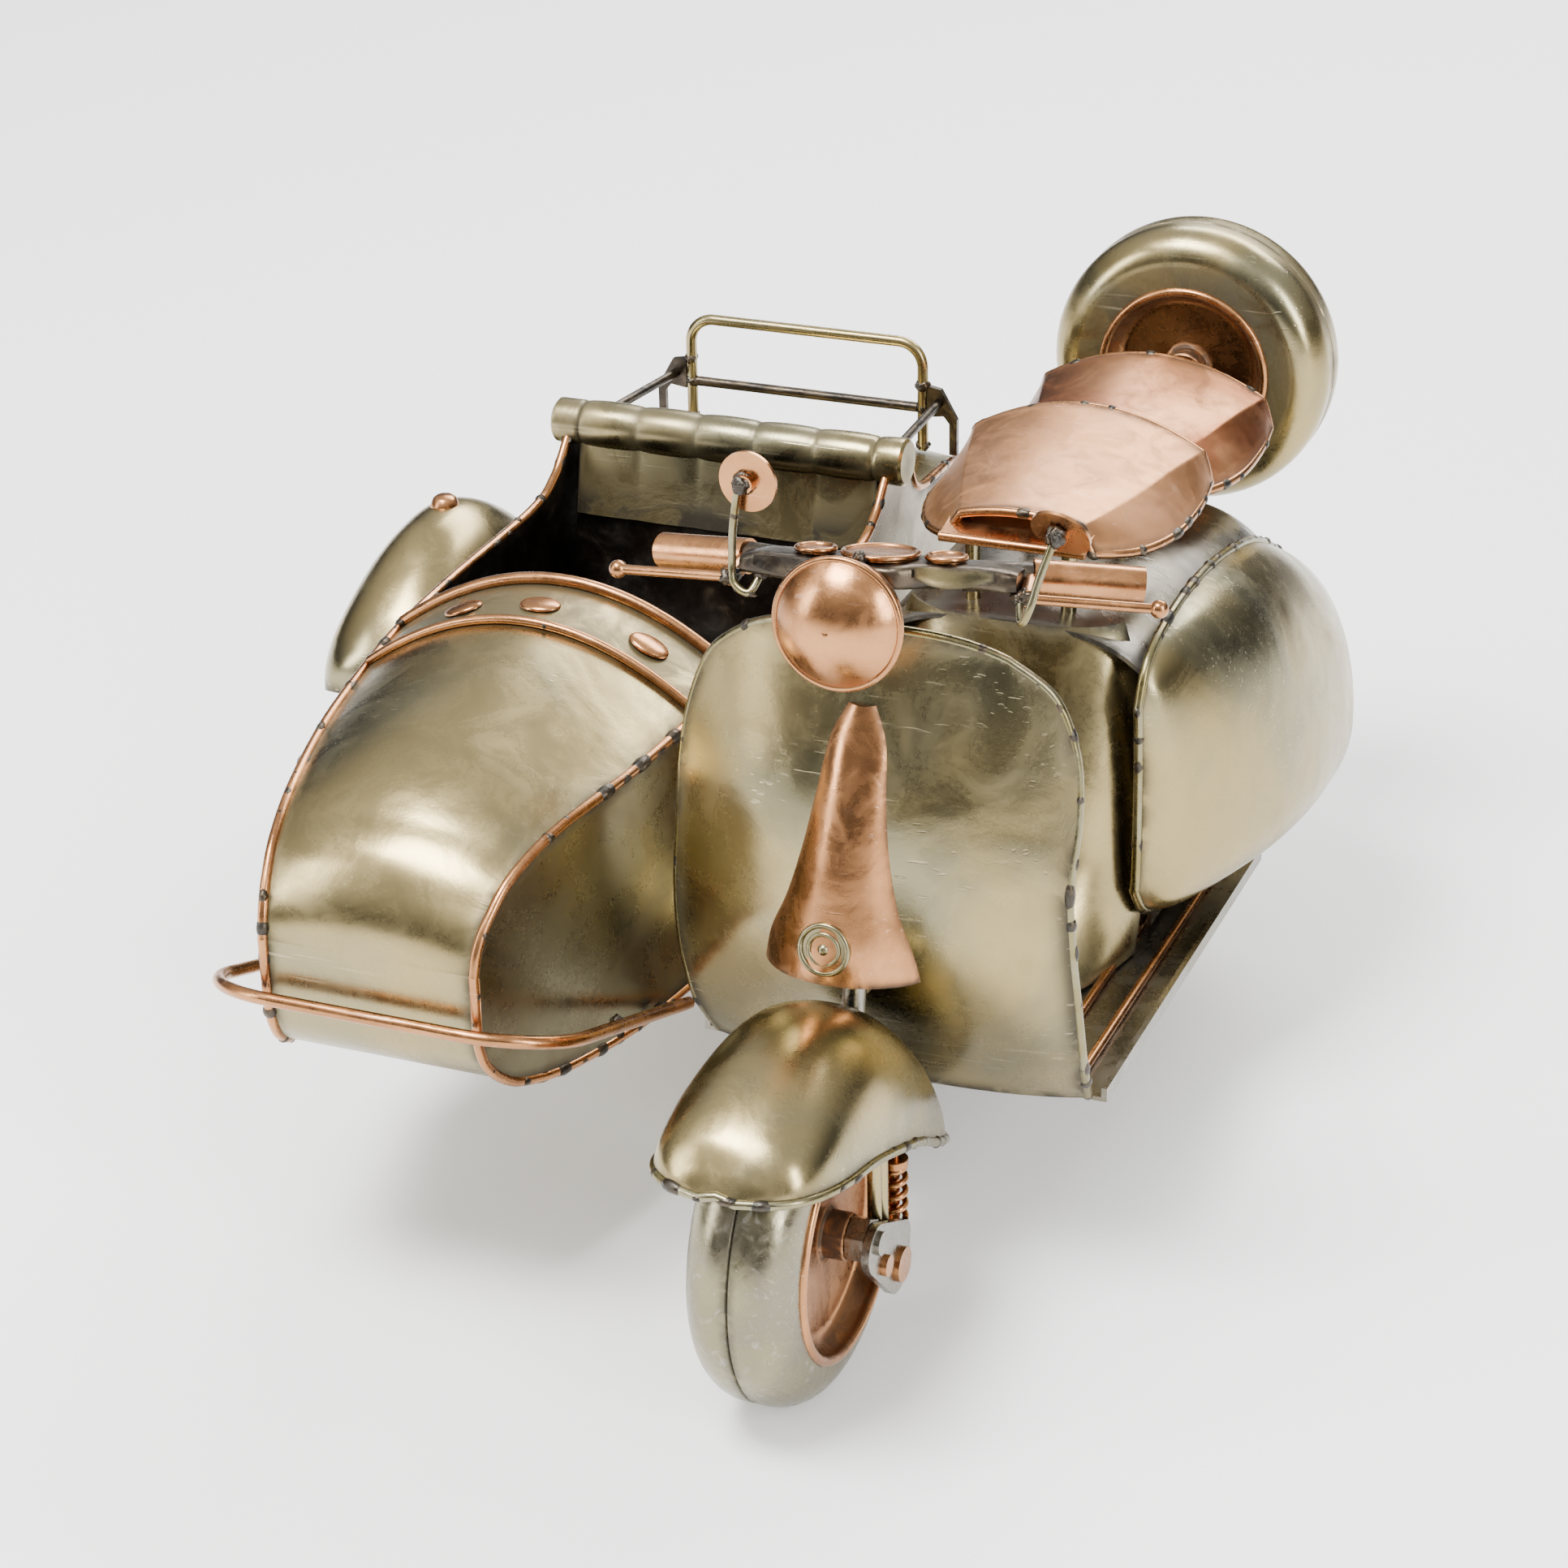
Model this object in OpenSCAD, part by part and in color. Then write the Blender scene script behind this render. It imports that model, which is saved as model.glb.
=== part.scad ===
// Scooter and sidecar display model, soldered from brass and copper plated sheet and wire.
// Frame: millimetres, +Z up, the front faces -Y, the rider's left is +X, the ground is Z = 0.
// The design is laid out from the front axle and then moved so that the middle of the base is the origin.

/* [Sheet and wire] */
// Thickness of the sheet metal
sheet_t = 0.8; // [0.5:0.1:1.2]
// Radius of the edge wire soldered round the panels
wire_r = 0.9; // [0.6:0.1:1.1]
// Node to draw

/* [Wheels] */
// Outer radius of every wheel
wheel_r = 29; // [28:0.5:30]
// Width of every tyre
tyre_w = 18.6; // [17:0.2:19]
// Radius of the rolled rim round the hub disc
rim_r = 20.2; // [19:0.1:21]
// Radius of the axle bolts
axle_r = 2; // [1.5:0.1:2.2]
// Running clearance between a hub bore and its axle
bore_gap = 0.06; // [0.03:0.01:0.1]
// Distance from the front axle to the rear axle
wheelbase = 168; // [164:1:172]

/* [Steering] */
// Rake of the steering axis from the vertical
rake = 12; // [10:0.5:14]
// Distance of the steering axis behind the front axle, at neck height
neck_y = 27.5; // [26:0.5:28]
// Height of the lower end of the steering neck
neck_z = 58; // [57:0.5:59]
// Amount by which the handlebar sits out of level, rider's left side up
bar_tilt = 2.5; // [0:0.5:4]
// Amount by which the handlebar is turned on its column, rider's left side back
bar_turn = 5; // [0:0.5:6]

/* [Sidecar] */
// Distance from the scooter's centre plane to the sidecar's centre plane
sidecar_x = 72.5; // [72:0.5:75]
// Distance from the scooter's centre plane to the sidecar wheel
side_wheel_x = 145; // [143:1:148]
// Height of the cockpit rim
rim_z = 90; // [86:1:92]

/* [Spare wheel] */
// Outer radius of the spare wheel, a little smaller than the others
spare_r = 28; // [27:0.5:29]
// Height of the spare wheel's centre
spare_z = 106.2; // [103:0.2:108]
// Distance from the front axle back to the spare wheel's centre plane
spare_y = 213; // [211:1:216]

/* [Hidden] */

brass = "#9a8f66";
copper = "#c07a58";
nickel = "#9b968c";
dark = "#34302c";

$fn = 48;
eps = 0.01;

// Extent of the whole model about the front axle, used to put the origin under its middle
cowl_x = 26;
cowl_bulge = 22;
fender_half = 17;
left_x = cowl_x + cowl_bulge;
right_x = -(side_wheel_x + fender_half);
front_y = -32;
hub_face = 9.7;
bolt_out = 3.4;
rear_y = spare_y + hub_face + bolt_out;
shift = [-(left_x + right_x) / 2, -(rear_y + front_y) / 2, 0];

// ---------- helpers ----------

function unit(v) = v / norm(v);
function pick(list, i) = list[max(0, min(len(list) - 1, i))];

// Catmull-Rom curve through a list of values or points
function curve(a, b, c, d, t) =
  (2 * b + (c - a) * t + (2 * a - 5 * b + 4 * c - d) * t * t + (3 * b - a - 3 * c + d) * t * t * t) / 2;
function along(list, u) =
  let (s = u * (len(list) - 1), i = min(floor(s), len(list) - 2))
  curve(pick(list, i - 1), pick(list, i), pick(list, i + 1), pick(list, i + 2), s - i);
function smooth(list, count) = [for (i = [0 : count]) along(list, i / count)];
// Height of a smooth curve through [y, value, ...] stations at a given y
function station(list, y, i = 0) =
  (i >= len(list) - 2 || y < list[i + 1][0])
    ? curve(pick(list, i - 1), pick(list, i), pick(list, i + 1), pick(list, i + 2),
            (y - list[i][0]) / (list[i + 1][0] - list[i][0]))
    : station(list, y, i + 1);

// Skin: a sheet of one thickness. The grid is its outer face, rows first;
// (next row) x (next column) points into the metal.
function grid_normal(g, i, j) =
  let (r = len(g) - 1, c = len(g[0]) - 1)
  unit(cross(g[min(i + 1, r)][j] - g[max(i - 1, 0)][j], g[i][min(j + 1, c)] - g[i][max(j - 1, 0)]));

module skin(g, t = sheet_t) {
  r = len(g) - 1;
  c = len(g[0]) - 1;
  n = (r + 1) * (c + 1);
  outer = [for (row = g) each row];
  inner = [for (i = [0 : r], j = [0 : c]) g[i][j] + t * grid_normal(g, i, j)];
  k = c + 1;
  faces = [
    for (i = [0 : r - 1], j = [0 : c - 1])
      let (a = i * k + j)
      each [[a, a + k, a + k + 1], [a, a + k + 1, a + 1],
            [n + a, n + a + k + 1, n + a + k], [n + a, n + a + 1, n + a + k + 1]],
    for (j = [0 : c - 1])
      let (a = j, b = r * k + j)
      each [[a, a + 1, n + a + 1], [a, n + a + 1, n + a],
            [b, n + b + 1, b + 1], [b, n + b, n + b + 1]],
    for (i = [0 : r - 1])
      let (a = i * k, b = i * k + c)
      each [[a, n + a, n + a + k], [a, n + a + k, a + k],
            [b, n + b + k, n + b], [b, b + k, n + b + k]]
  ];
  polyhedron(concat(outer, inner), faces, convexity = 8);
}

// Wire: a round rod swept along points; up is any direction that the wire never follows
module wire(path, r = wire_r, up = [0, 0, 1], sides = 8, closed = false) {
  n = len(path);
  rings = [
    for (i = [0 : n - 1])
      let (
        a = closed ? path[(i + n - 1) % n] : path[max(i - 1, 0)],
        b = closed ? path[(i + 1) % n] : path[min(i + 1, n - 1)],
        t = unit(b - a), p = unit(cross(up, t)), q = cross(t, p))
      for (k = [0 : sides - 1])
        path[i] + r * (cos(360 * k / sides) * p + sin(360 * k / sides) * q)
  ];
  last = closed ? n - 1 : n - 2;
  skin_faces = [
    for (i = [0 : last], k = [0 : sides - 1])
      let (a = i * sides, b = ((i + 1) % n) * sides, m = (k + 1) % sides)
      each [[a + k, b + k, b + m], [a + k, b + m, a + m]]
  ];
  start_cap = [for (k = [0 : sides - 1]) k];
  end_cap = [for (k = [sides - 1 : -1 : 0]) (n - 1) * sides + k];
  polyhedron(rings, closed ? skin_faces : concat(skin_faces, [start_cap, end_cap]), convexity = 6);
}

function flip(p) = [-p[0], p[1], p[2]];
function flip_path(path) = [for (i = [len(path) - 1 : -1 : 0]) flip(path[i])];
function row_of(g, i) = g[i];
function column_of(g, j) = [for (row = g) row[j]];
function reversed(path) = [for (i = [len(path) - 1 : -1 : 0]) path[i]];

// Rod between two points
module rod(a, b, r) {
  d = b - a;
  h = norm(d);
  turn = acos(d[2] / h);
  axis = norm(cross([0, 0, 1], d)) < eps ? [1, 0, 0] : cross([0, 0, 1], d);
  translate(a) rotate(turn, axis) cylinder(r = r, h = h);
}

module both_sides() {
  children();
  mirror([1, 0, 0]) children();
}

// ---------- wheels ----------

bead_in = 8.4;
shoulder = 7.6;
disc_x = 5.6;

module tyre_half_section(r, w, s, depth) {
  translate([r - s, w / 2 - s]) circle(s);
  translate([r - depth, 0]) square([depth - s, w / 2]);
  translate([r - s - eps, 0]) square([s + eps, w / 2 - s]);
}

// Tyre pressed in two brass halves, open towards the axle, with a seam round the tread
module tyre(r = wheel_r, depth = bead_in, round_r = shoulder) {
  seam = 0.3;
  bead = r - depth;
  color(brass) rotate([0, 90, 0]) rotate_extrude($fn = 96) difference() {
    both_tyre_sides() tyre_half_section(r, tyre_w, round_r, depth);
    both_tyre_sides() translate([-sheet_t, -sheet_t]) intersection() {
      tyre_half_section(r, tyre_w, round_r, depth);
      translate([bead, 0]) square([r, tyre_w]);
    }
    translate([bead - 2 * sheet_t, -tyre_w / 2 + sheet_t]) square([3 * sheet_t, tyre_w - 2 * sheet_t]);
    translate([r - seam, -seam / 2]) square([seam + 1, seam]);
  }
}

module both_tyre_sides() {
  children();
  mirror([0, 1]) children();
}

// Hub: two dished copper discs on a bush, each with a rolled rim
module hub(rim = rim_r, bore = axle_r + bore_gap) {
  bush_r = 4;
  roll_r = 0.9;
  rim_x = tyre_w / 2 - 0.1;
  color(copper) rotate([0, 90, 0]) {
    difference() {
      cylinder(r = bush_r, h = 2 * hub_face, center = true);
      cylinder(r = bore, h = 3 * hub_face, center = true);
    }
    rotate_extrude($fn = 96) both_tyre_sides() {
      polygon([
        [bush_r - eps, disc_x], [rim - 3.8, disc_x], [rim - 1.8, disc_x + 1.2], [rim - 0.6, rim_x],
        [rim + 0.4, rim_x], [rim - 1, disc_x + 0.8], [rim - 3.3, disc_x - sheet_t],
        [bush_r - eps, disc_x - sheet_t]]);
      translate([rim, rim_x]) circle(roll_r, $fn = 24);
    }
  }
}

spare_x = 2;
spare_bead = 11.2;
spare_shoulder = 6.6;
module at_front_wheel() { translate([0, 0, wheel_r]) children(); }
module at_rear_wheel() { translate([0, wheelbase, wheel_r]) children(); }
module at_side_wheel() { translate([-side_wheel_x, wheelbase, wheel_r]) children(); }
module at_spare() { translate([spare_x, spare_y, spare_z]) rotate([0, 0, 90]) children(); }

module front_tyre() { at_front_wheel() tyre(); }
module front_hub() { at_front_wheel() hub(); }
module rear_tyre() { at_rear_wheel() tyre(); }
module rear_hub() { at_rear_wheel() hub(); }
module sidecar_tyre() { at_side_wheel() tyre(); }
module sidecar_hub() { at_side_wheel() hub(); }
module spare_tyre() { at_spare() tyre(spare_r, spare_bead, spare_shoulder); }
module spare_hub() { at_spare() hub(spare_r - spare_bead - 0.4, axle_r); }

// ---------- leg shield and nose ----------

// Rows of the shield from the top: half width, edge y, edge z, centre y, centre z
shield_rows = [
  [22.0, 39.5, 115.5, 36.5, 119.5],
  [29.3, 41.0, 109.5, 34.2, 111.0],
  [33.2, 40.6, 100.0, 31.0, 100.5],
  [34.3, 38.6, 90.0, 28.0, 90.0],
  [34.0, 35.6, 79.0, 26.4, 79.0],
  [34.6, 35.4, 68.0, 26.4, 68.0],
  [35.1, 37.6, 56.0, 31.0, 56.0],
  [34.8, 42.0, 43.5, 39.8, 43.5],
  [33.6, 48.6, 33.8, 46.8, 32.2]];
shield_count = 20;
shield_cols = 14;

function shield_row(u) = along(shield_rows, u);
function shield_point(u, s) =
  let (q = shield_row(u), k = pow(abs(s), 2.2))
  [q[0] * s, q[3] + (q[1] - q[3]) * k, q[4] + (q[2] - q[4]) * pow(abs(s), 3)];
shield_grid = [
  for (i = [0 : shield_count])
    [for (j = [0 : shield_cols]) shield_point(i / shield_count, -1 + 2 * j / shield_cols)]];

module leg_shield() {
  color(brass) difference() {
    skin(shield_grid);
    in_neck() translate([0, 0, -5]) cylinder(r = 2.8, h = 30);
  }
}

// Edge wire round the top and both sides of the shield
module leg_shield_trim() {
  side = column_of(shield_grid, shield_cols);
  top = row_of(shield_grid, 0);
  color(brass) wire(concat(
    reversed(column_of(shield_grid, 0)),
    [for (j = [1 : shield_cols - 1]) top[j]],
    side), up = [0, 1, 0]);
}

// Rows of the horn cover from the top: z, half width, ridge y
cover_rows = [
  [107.5, 2.2, 32.0], [102.0, 4.6, 29.6], [93.0, 5.8, 25.8], [84.0, 7.2, 22.8],
  [75.0, 9.4, 20.6], [67.5, 12.2, 18.9], [61.5, 13.4, 18.0]];
cover_lean = 2.4;

function shield_y(x, z) =
  let (u = shield_u(z), q = shield_row(u)) q[3] + (q[1] - q[3]) * pow(abs(x) / q[0], 2.2);
function shield_u(z, a = 0, b = 1, n = 14) =
  n == 0 ? (a + b) / 2
    : let (m = (a + b) / 2) shield_row(m)[4] > z ? shield_u(z, m, b, n - 1) : shield_u(z, a, m, n - 1);

function cover_point(u, s) =
  let (
    q = along(cover_rows, u), x = q[1] * s - cover_lean * pow(u, 1.5),
    base = shield_y(x, q[0]) - 0.05, swell = 1 - s * s)
  [x, base + (q[2] - shield_y(0, q[0])) * pow(swell, 0.8), q[0] + 2.4 * pow(u, 4) * swell];
cover_grid = [for (i = [0 : 12]) [for (j = [0 : 10]) cover_point(i / 12, -1 + 2 * j / 10)]];

module horn_cover() { color(copper) skin(cover_grid, 0.6); }

// Badge of plain concentric rings on the lower end of the horn cover
module horn_badge() {
  color(brass) translate([-1.9, 19.5, 69.6]) rotate([90 - 10, 0, 0]) {
    cylinder(r = 4.6, h = 0.7);
    rotate_extrude() translate([4.1, 0.7]) circle(0.5, $fn = 16);
    rotate_extrude() translate([2.6, 0.7]) circle(0.4, $fn = 16);
    translate([0, 0, 0.4]) sphere(1.1, $fn = 24);
  }
}

// Steering neck frame: origin at the lower end of the neck, z along the steering axis
module in_neck() { translate([0, neck_y, neck_z]) rotate([-rake, 0, 0]) children(); }

column_r = 2;
neck_low = 3;
neck_high = 59;

module head_tube() {
  color(dark) in_neck() difference() {
    translate([0, 0, neck_low]) cylinder(r = 3.1, h = neck_high - neck_low);
    cylinder(r = column_r + 0.08, h = 2 * neck_high, center = true);
  }
}

// ---------- floor and rear body ----------

floor_z = 33;
floor_half = 36.8;
floor_front = 49.5;
floor_rear = 146;
wheel_slot = 10.8;

// Tray with an upturned edge on each side
module floorboard() {
  edge_h = 1.8;
  color(nickel) {
    difference() {
      translate([-floor_half, floor_front, floor_z - sheet_t])
        cube([2 * floor_half, floor_rear - floor_front, sheet_t]);
      translate([-wheel_slot, wheelbase - wheel_r - 4, floor_z - 2]) cube([2 * wheel_slot, 2 * wheel_r, 4]);
    }
    both_sides() translate([floor_half - 1, floor_front, floor_z - eps])
      cube([1, floor_rear - floor_front, edge_h]);
  }
}

// Four copper wires laid along the floor
module floor_runners() {
  runner_r = 0.8;
  color(copper) both_sides() for (x = [23.9, 30.6])
    rod([x, floor_front + 4, floor_z + runner_r], [x, floor_rear - 4, floor_z + runner_r], runner_r);
}

body_half = cowl_x;
body_start = 104;

// Front of the rear body: a bowed sheet that flares forward into the floor
front_rows = [
  [93.5, 103.0, 20.0], [80.0, 98.0, 24.0], [66.0, 93.0, 25.6], [52.0, 88.5, 26.0], [41.0, 81.0, 26.0], [33.4, 69.0, 26.0]];
function front_point(u, s) =
  let (q = along(front_rows, u), bow = body_start + 8 - q[1])
  [q[2] * s, q[1] + bow * (1 - sqrt(max(0, 1 - pow(abs(s), 2.6)) + 0.0001)), q[0]];
front_grid = [
  for (i = [0 : 8]) [for (j = [0 : 14]) front_point(i / 8, 0.97 * sin(-90 + 180 * j / 14))]];

module body_front() { color(brass) skin(front_grid); }

// Top and tail of the rear body: centre y, centre z
top_line = [[103, 93.6], [130, 94.0], [160, 93.6], [177, 91], [189, 84], [196, 73], [199, 56], [199, 36]];
wrap_count = 16;
wrap_cols = 10;
function wrap_point(i, s) =
  let (
    u = i / wrap_count, p = along(top_line, u),
    q = along(top_line, min(1, u + 0.02)) - along(top_line, max(0, u - 0.02)),
    inward = [q[1], -q[0]] / norm(q))
  [body_half * s, p[0] + 7 * pow(abs(s), 3.5) * inward[0], p[1] + 7 * pow(abs(s), 3.5) * inward[1]];
wrap_grid = [for (i = [0 : wrap_count]) [for (j = [0 : wrap_cols]) wrap_point(i, -1 + 2 * j / wrap_cols)]];

module body_wrap() { color(nickel) skin(wrap_grid); }

side_outline = concat(
  [for (i = [0 : wrap_count]) let (p = wrap_grid[i][0]) [p[1], p[2]]],
  [[body_start + 6, 34], [body_start + 6, 60]]);

module body_side() {
  translate([body_half - sheet_t, 0, 0]) rotate([90, 0, 90]) linear_extrude(sheet_t) polygon(side_outline);
}

module body_side_left() { color(nickel) body_side(); }
module body_side_right() { color(nickel) mirror([1, 0, 0]) body_side(); }

// Cowl: a domed pod on the left side; y, low z, z of the fullest line, high z, share of the full bulge
cowl_rows = [
  [98.0, 47.0, 60.0, 82.0, 0.02], [101.0, 42.0, 56.0, 88.5, 0.30], [107.0, 40.2, 54.0, 92.0, 0.50],
  [118.0, 39.6, 53.0, 94.0, 0.73], [133.0, 38.8, 52.0, 94.2, 0.92], [150.0, 38.2, 51.0, 92.0, 1.0],
  [168.0, 38.2, 50.5, 87.5, 0.98], [184.0, 40.0, 51.0, 80.0, 0.80], [196.0, 44.0, 54.0, 72.0, 0.50],
  [201.5, 50.0, 57.0, 65.0, 0.06]];
cowl_count = 18;
cowl_cols = 12;
function cowl_point(u, a) =
  let (q = along(cowl_rows, u), s = max(sin(a), 0), c = cos(a), upper = c > 0)
  [cowl_x + 0.1 + (cowl_bulge - 0.1) * min(1, q[4]) * pow(s, upper ? 1.05 : 0.6), q[0],
   q[2] + (upper ? (q[3] - q[2]) * c : (q[2] - q[1]) * c)];
cowl_grid = [
  for (i = [0 : cowl_count])
    [for (j = [0 : cowl_cols]) cowl_point(i / cowl_count, 2 + 176 * j / cowl_cols)]];

module left_cowl() { color(brass) skin(cowl_grid); }

// Edge wire round the whole mouth of the cowl
module left_cowl_trim() {
  color(brass) wire(concat(
    column_of(cowl_grid, 0),
    [for (j = [3 : 3 : cowl_cols - 3]) cowl_grid[cowl_count][j]],
    reversed(column_of(cowl_grid, cowl_cols)),
    [for (j = [cowl_cols - 3 : -3 : 3]) cowl_grid[0][j]]),
    up = [1, 0, 0], closed = true);
}

// ---------- seats ----------

// Rows of a seat from the nose: y, half width, rim z, top z, half width of the top, crown of the top
seat_rows = [
  [110.0, 13.5, 105.4, 111.3, 11.0, 1.4], [117.0, 19.5, 104.0, 111.8, 13.0, 2.0],
  [127.0, 23.3, 103.8, 112.8, 16.0, 2.6], [139.0, 24.0, 104.4, 115.0, 19.0, 4.0],
  [149.5, 23.2, 105.6, 117.4, 21.6, 6.4]];
seat_steps = [-1, -0.9, -0.6, -0.3, 0, 0.3, 0.6, 0.9, 1];
seat_count = 8;
function seat_section(q, s) =
  let (a = abs(s), side = sign(s))
  a > 0.95 ? [side * q[1], q[0], q[2]] : [q[4] * s / 0.9, q[0], q[3] - q[5] * pow(a / 0.9, 2)];
seat_grid = [
  for (i = [0 : seat_count]) let (q = along(seat_rows, i / seat_count))
    [for (s = reversed(seat_steps)) seat_section(q, s)]];

rear_seat_shift = [0, 41.5, -4];

module seat_sheet() { color(copper) skin(seat_grid); }
module seat_rim() {
  last = len(seat_steps) - 1;
  color(copper) wire(concat(
    column_of(seat_grid, 0),
    [for (j = [1 : last - 1]) seat_grid[seat_count][j]],
    reversed(column_of(seat_grid, last)),
    [for (j = [last - 1 : -1 : 1]) seat_grid[0][j]]),
    closed = true);
}

module front_seat() { seat_sheet(); }
module front_seat_trim() { seat_rim(); }
module rear_seat() { translate(rear_seat_shift) seat_sheet(); }
module rear_seat_trim() { translate(rear_seat_shift) seat_rim(); }

// Copper tongue under the front seat's nose, with a brass wire along its edge
module seat_bracket() {
  half = 13.5;
  color(copper) translate([-half, 106, 106.6]) rotate([12, 0, 0]) cube([2 * half, 10, sheet_t]);
  color(brass) rod([-half, 105.8, 106.8], [half, 105.8, 106.8], wire_r);
}

// Two pairs of posts under each seat
module seat_posts() {
  post_r = 1.4;
  color(brass) both_sides() {
    rod([9, 111, 93], [9, 111, 107.6], post_r);
    rod([9, 143, 93.5], [9, 143, 114.6], post_r);
    rod([9, 155, 93.5], [9, 155, 106], post_r);
    rod([9, 184, 86], [9, 184, 110.6], post_r);
  }
}

// ---------- rear wheel frame and spare wheel ----------

arm_x = 11.2;

// Two arms that hold the rear axle, soldered on the floor beside the wheel slot
module rear_frame() {
  color(dark) both_sides() translate([arm_x, 0, 0]) rotate([90, 0, 90]) linear_extrude(1.4) difference() {
    union() {
      translate([118, floor_z - 0.1]) square([50, 4]);
      translate([wheelbase, wheel_r]) circle(5);
    }
    translate([wheelbase, wheel_r]) circle(axle_r);
  }
}

module rear_axle() {
  color(nickel) {
    rod([-15, wheelbase, wheel_r], [15, wheelbase, wheel_r], axle_r);
    both_sides() translate([12.7, wheelbase, wheel_r]) rotate([0, 90, 0]) difference() {
      cylinder(r = 4, h = 1.8, $fn = 6);
      translate([0, 0, -1]) cylinder(r = axle_r, h = 5);
    }
  }
}

// Bolt, nut and upright strap that carry the spare wheel on the tail
module spare_carrier() {
  strap_y = spare_y - hub_face - 1.4;
  foot_z = 68;
  color(dark) translate([spare_x, 0, 0]) {
    rod([0, strap_y, spare_z], [0, rear_y, spare_z], axle_r);
    translate([-4.5, strap_y, foot_z]) cube([9, 1.3, spare_z - foot_z + 2.6]);
    translate([-4.5, 194, foot_z]) cube([9, strap_y - 193, 1.3]);
    translate([0, spare_y + hub_face + 0.1, spare_z]) rotate([-90, 0, 0]) difference() {
      cylinder(r = 4, h = 3, $fn = 6);
      translate([0, 0, -1]) cylinder(r = axle_r, h = 5);
    }
  }
}

// ---------- handlebar, lamp and mirrors ----------

bar_w = 71.3;
bar_v = -5.1;

// Frame of the handlebar: x across, z along the steering axis, origin at the bar's middle
module in_bar() {
  in_neck() translate([1.5, bar_v, bar_w]) rotate([0, -bar_tilt, bar_turn]) children();
}

module steering_column() {
  color(nickel) in_neck() translate([0, 0, -5]) cylinder(r = column_r, h = bar_w + 5);
}

// Folded sheet bar: a flat middle under the gauges and a swept arm to each grip
arm_end = [23.4, 5.1, 0];
grip_end = [40, 11.1, -1.2];

module handlebar() {
  color(dark) in_bar() {
    translate([0, 0, -1.7]) linear_extrude(4.3) bar_outline();
    both_sides() rod([13, 1, 0], arm_end, 2.4);
  }
}

module bar_outline() {
  circle(7.6);
  translate([-19, -4.6]) square([38, 8.4]);
  both_sides() translate([18.5, -0.4]) circle(4.2);
}

// Three gauges on top of the bar
module gauges() {
  color(copper) in_bar() translate([0, 0, 2.6]) {
    for (g = [[-10.7, 3.5], [0, 6.4], [10.7, 3.5]]) translate([g[0], -0.4, 0]) {
      cylinder(r = g[1] - 0.5, h = 0.8);
      rotate_extrude() translate([g[1] - 0.5, 0.6]) circle(0.5, $fn = 16);
    }
  }
}

lamp_r = 10.6;
module in_lamp() { in_neck() translate([0, -19.5, 65.2]) rotate([90 + 6, 0, 0]) children(); }

// Lamp frame: z points forward; the dome stands in front of z = 0 and the bowl behind it
module headlamp_lens() {
  dome = 13;
  rise = dome - sqrt(dome * dome - pow(lamp_r - 0.4, 2));
  color(copper) in_lamp() translate([0, 0, rise - dome + 0.4]) difference() {
    sphere(dome, $fn = 72);
    sphere(dome - sheet_t, $fn = 72);
    translate([0, 0, -rise]) cube([4 * dome, 4 * dome, 2 * dome], center = true);
  }
}
module headlamp_rim() {
  color(brass) in_lamp() rotate_extrude($fn = 72) translate([lamp_r - 0.2, 0]) circle(0.6, $fn = 24);
}
module headlamp_shell() {
  color(copper) in_lamp() rotate_extrude($fn = 72) difference() {
    intersection() {
      circle(lamp_r - 0.3);
      translate([0, -8.6]) square([lamp_r, 8.6]);
    }
    intersection() {
      circle(lamp_r - 0.3 - sheet_t);
      translate([0, -8.6 + sheet_t]) square([lamp_r, 9]);
    }
  }
}

module grips() {
  color(copper) in_bar() both_sides() difference() {
    rod(arm_end, grip_end, 2.9);
    rod(arm_end + unit(grip_end - arm_end) * 3, grip_end + unit(grip_end - arm_end), 2.3);
  }
}

// Lever on each side: a clamp, a thin rod and a ball at its tip
module levers() {
  root = [24.5, -2.6, -2.1];
  tip = [44.5, 1.6, -3];
  color(copper) in_bar() both_sides() {
    rod(root, tip, 0.8);
    translate(tip) sphere(1.5, $fn = 32);
    rod(arm_end, root, 1.5);
  }
}

stem_r = 0.65;
stem_right = [
  [-17.4, 33.5, 127.6], [-18.4, 30.4, 125.2], [-21.2, 31.0, 126.4],
  [-21.8, 32.0, 129.4], [-21.5, 32.0, 135.3], [-20.6, 32.2, 142.0]];
stem_left = [[24.6, 37.4, 127.6], [26.4, 32.8, 125.4], [27.9, 32.4, 128.2], [28.8, 34.2, 132.6], [30.4, 35.8, 138.0]];

module mirror_stems() {
  color(brass) {
    wire(smooth(stem_left, 10), stem_r, up = [1, 0.3, 0], sides = 6);
    wire(smooth(stem_right, 12), stem_r, up = [0.3, 1, 0], sides = 6);
  }
}

// Mirror: a thin disc with a soldered boss on the side that faces forward (z)
module mirror_disc() {
  translate([0, 0, -0.3]) cylinder(r = 5, h = 0.6);
  translate([0, 0, 0.2]) cylinder(r = 1.5, h = 1.6);
}

module mirrors() {
  color(copper) {
    translate([-19.4, 33.6, 142.8]) rotate([90, 0, -4]) mirror_disc();
    translate([31.2, 37.4, 139.4]) rotate([122, 0, -9]) mirror_disc();
  }
}

// ---------- front fender and fork ----------

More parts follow.
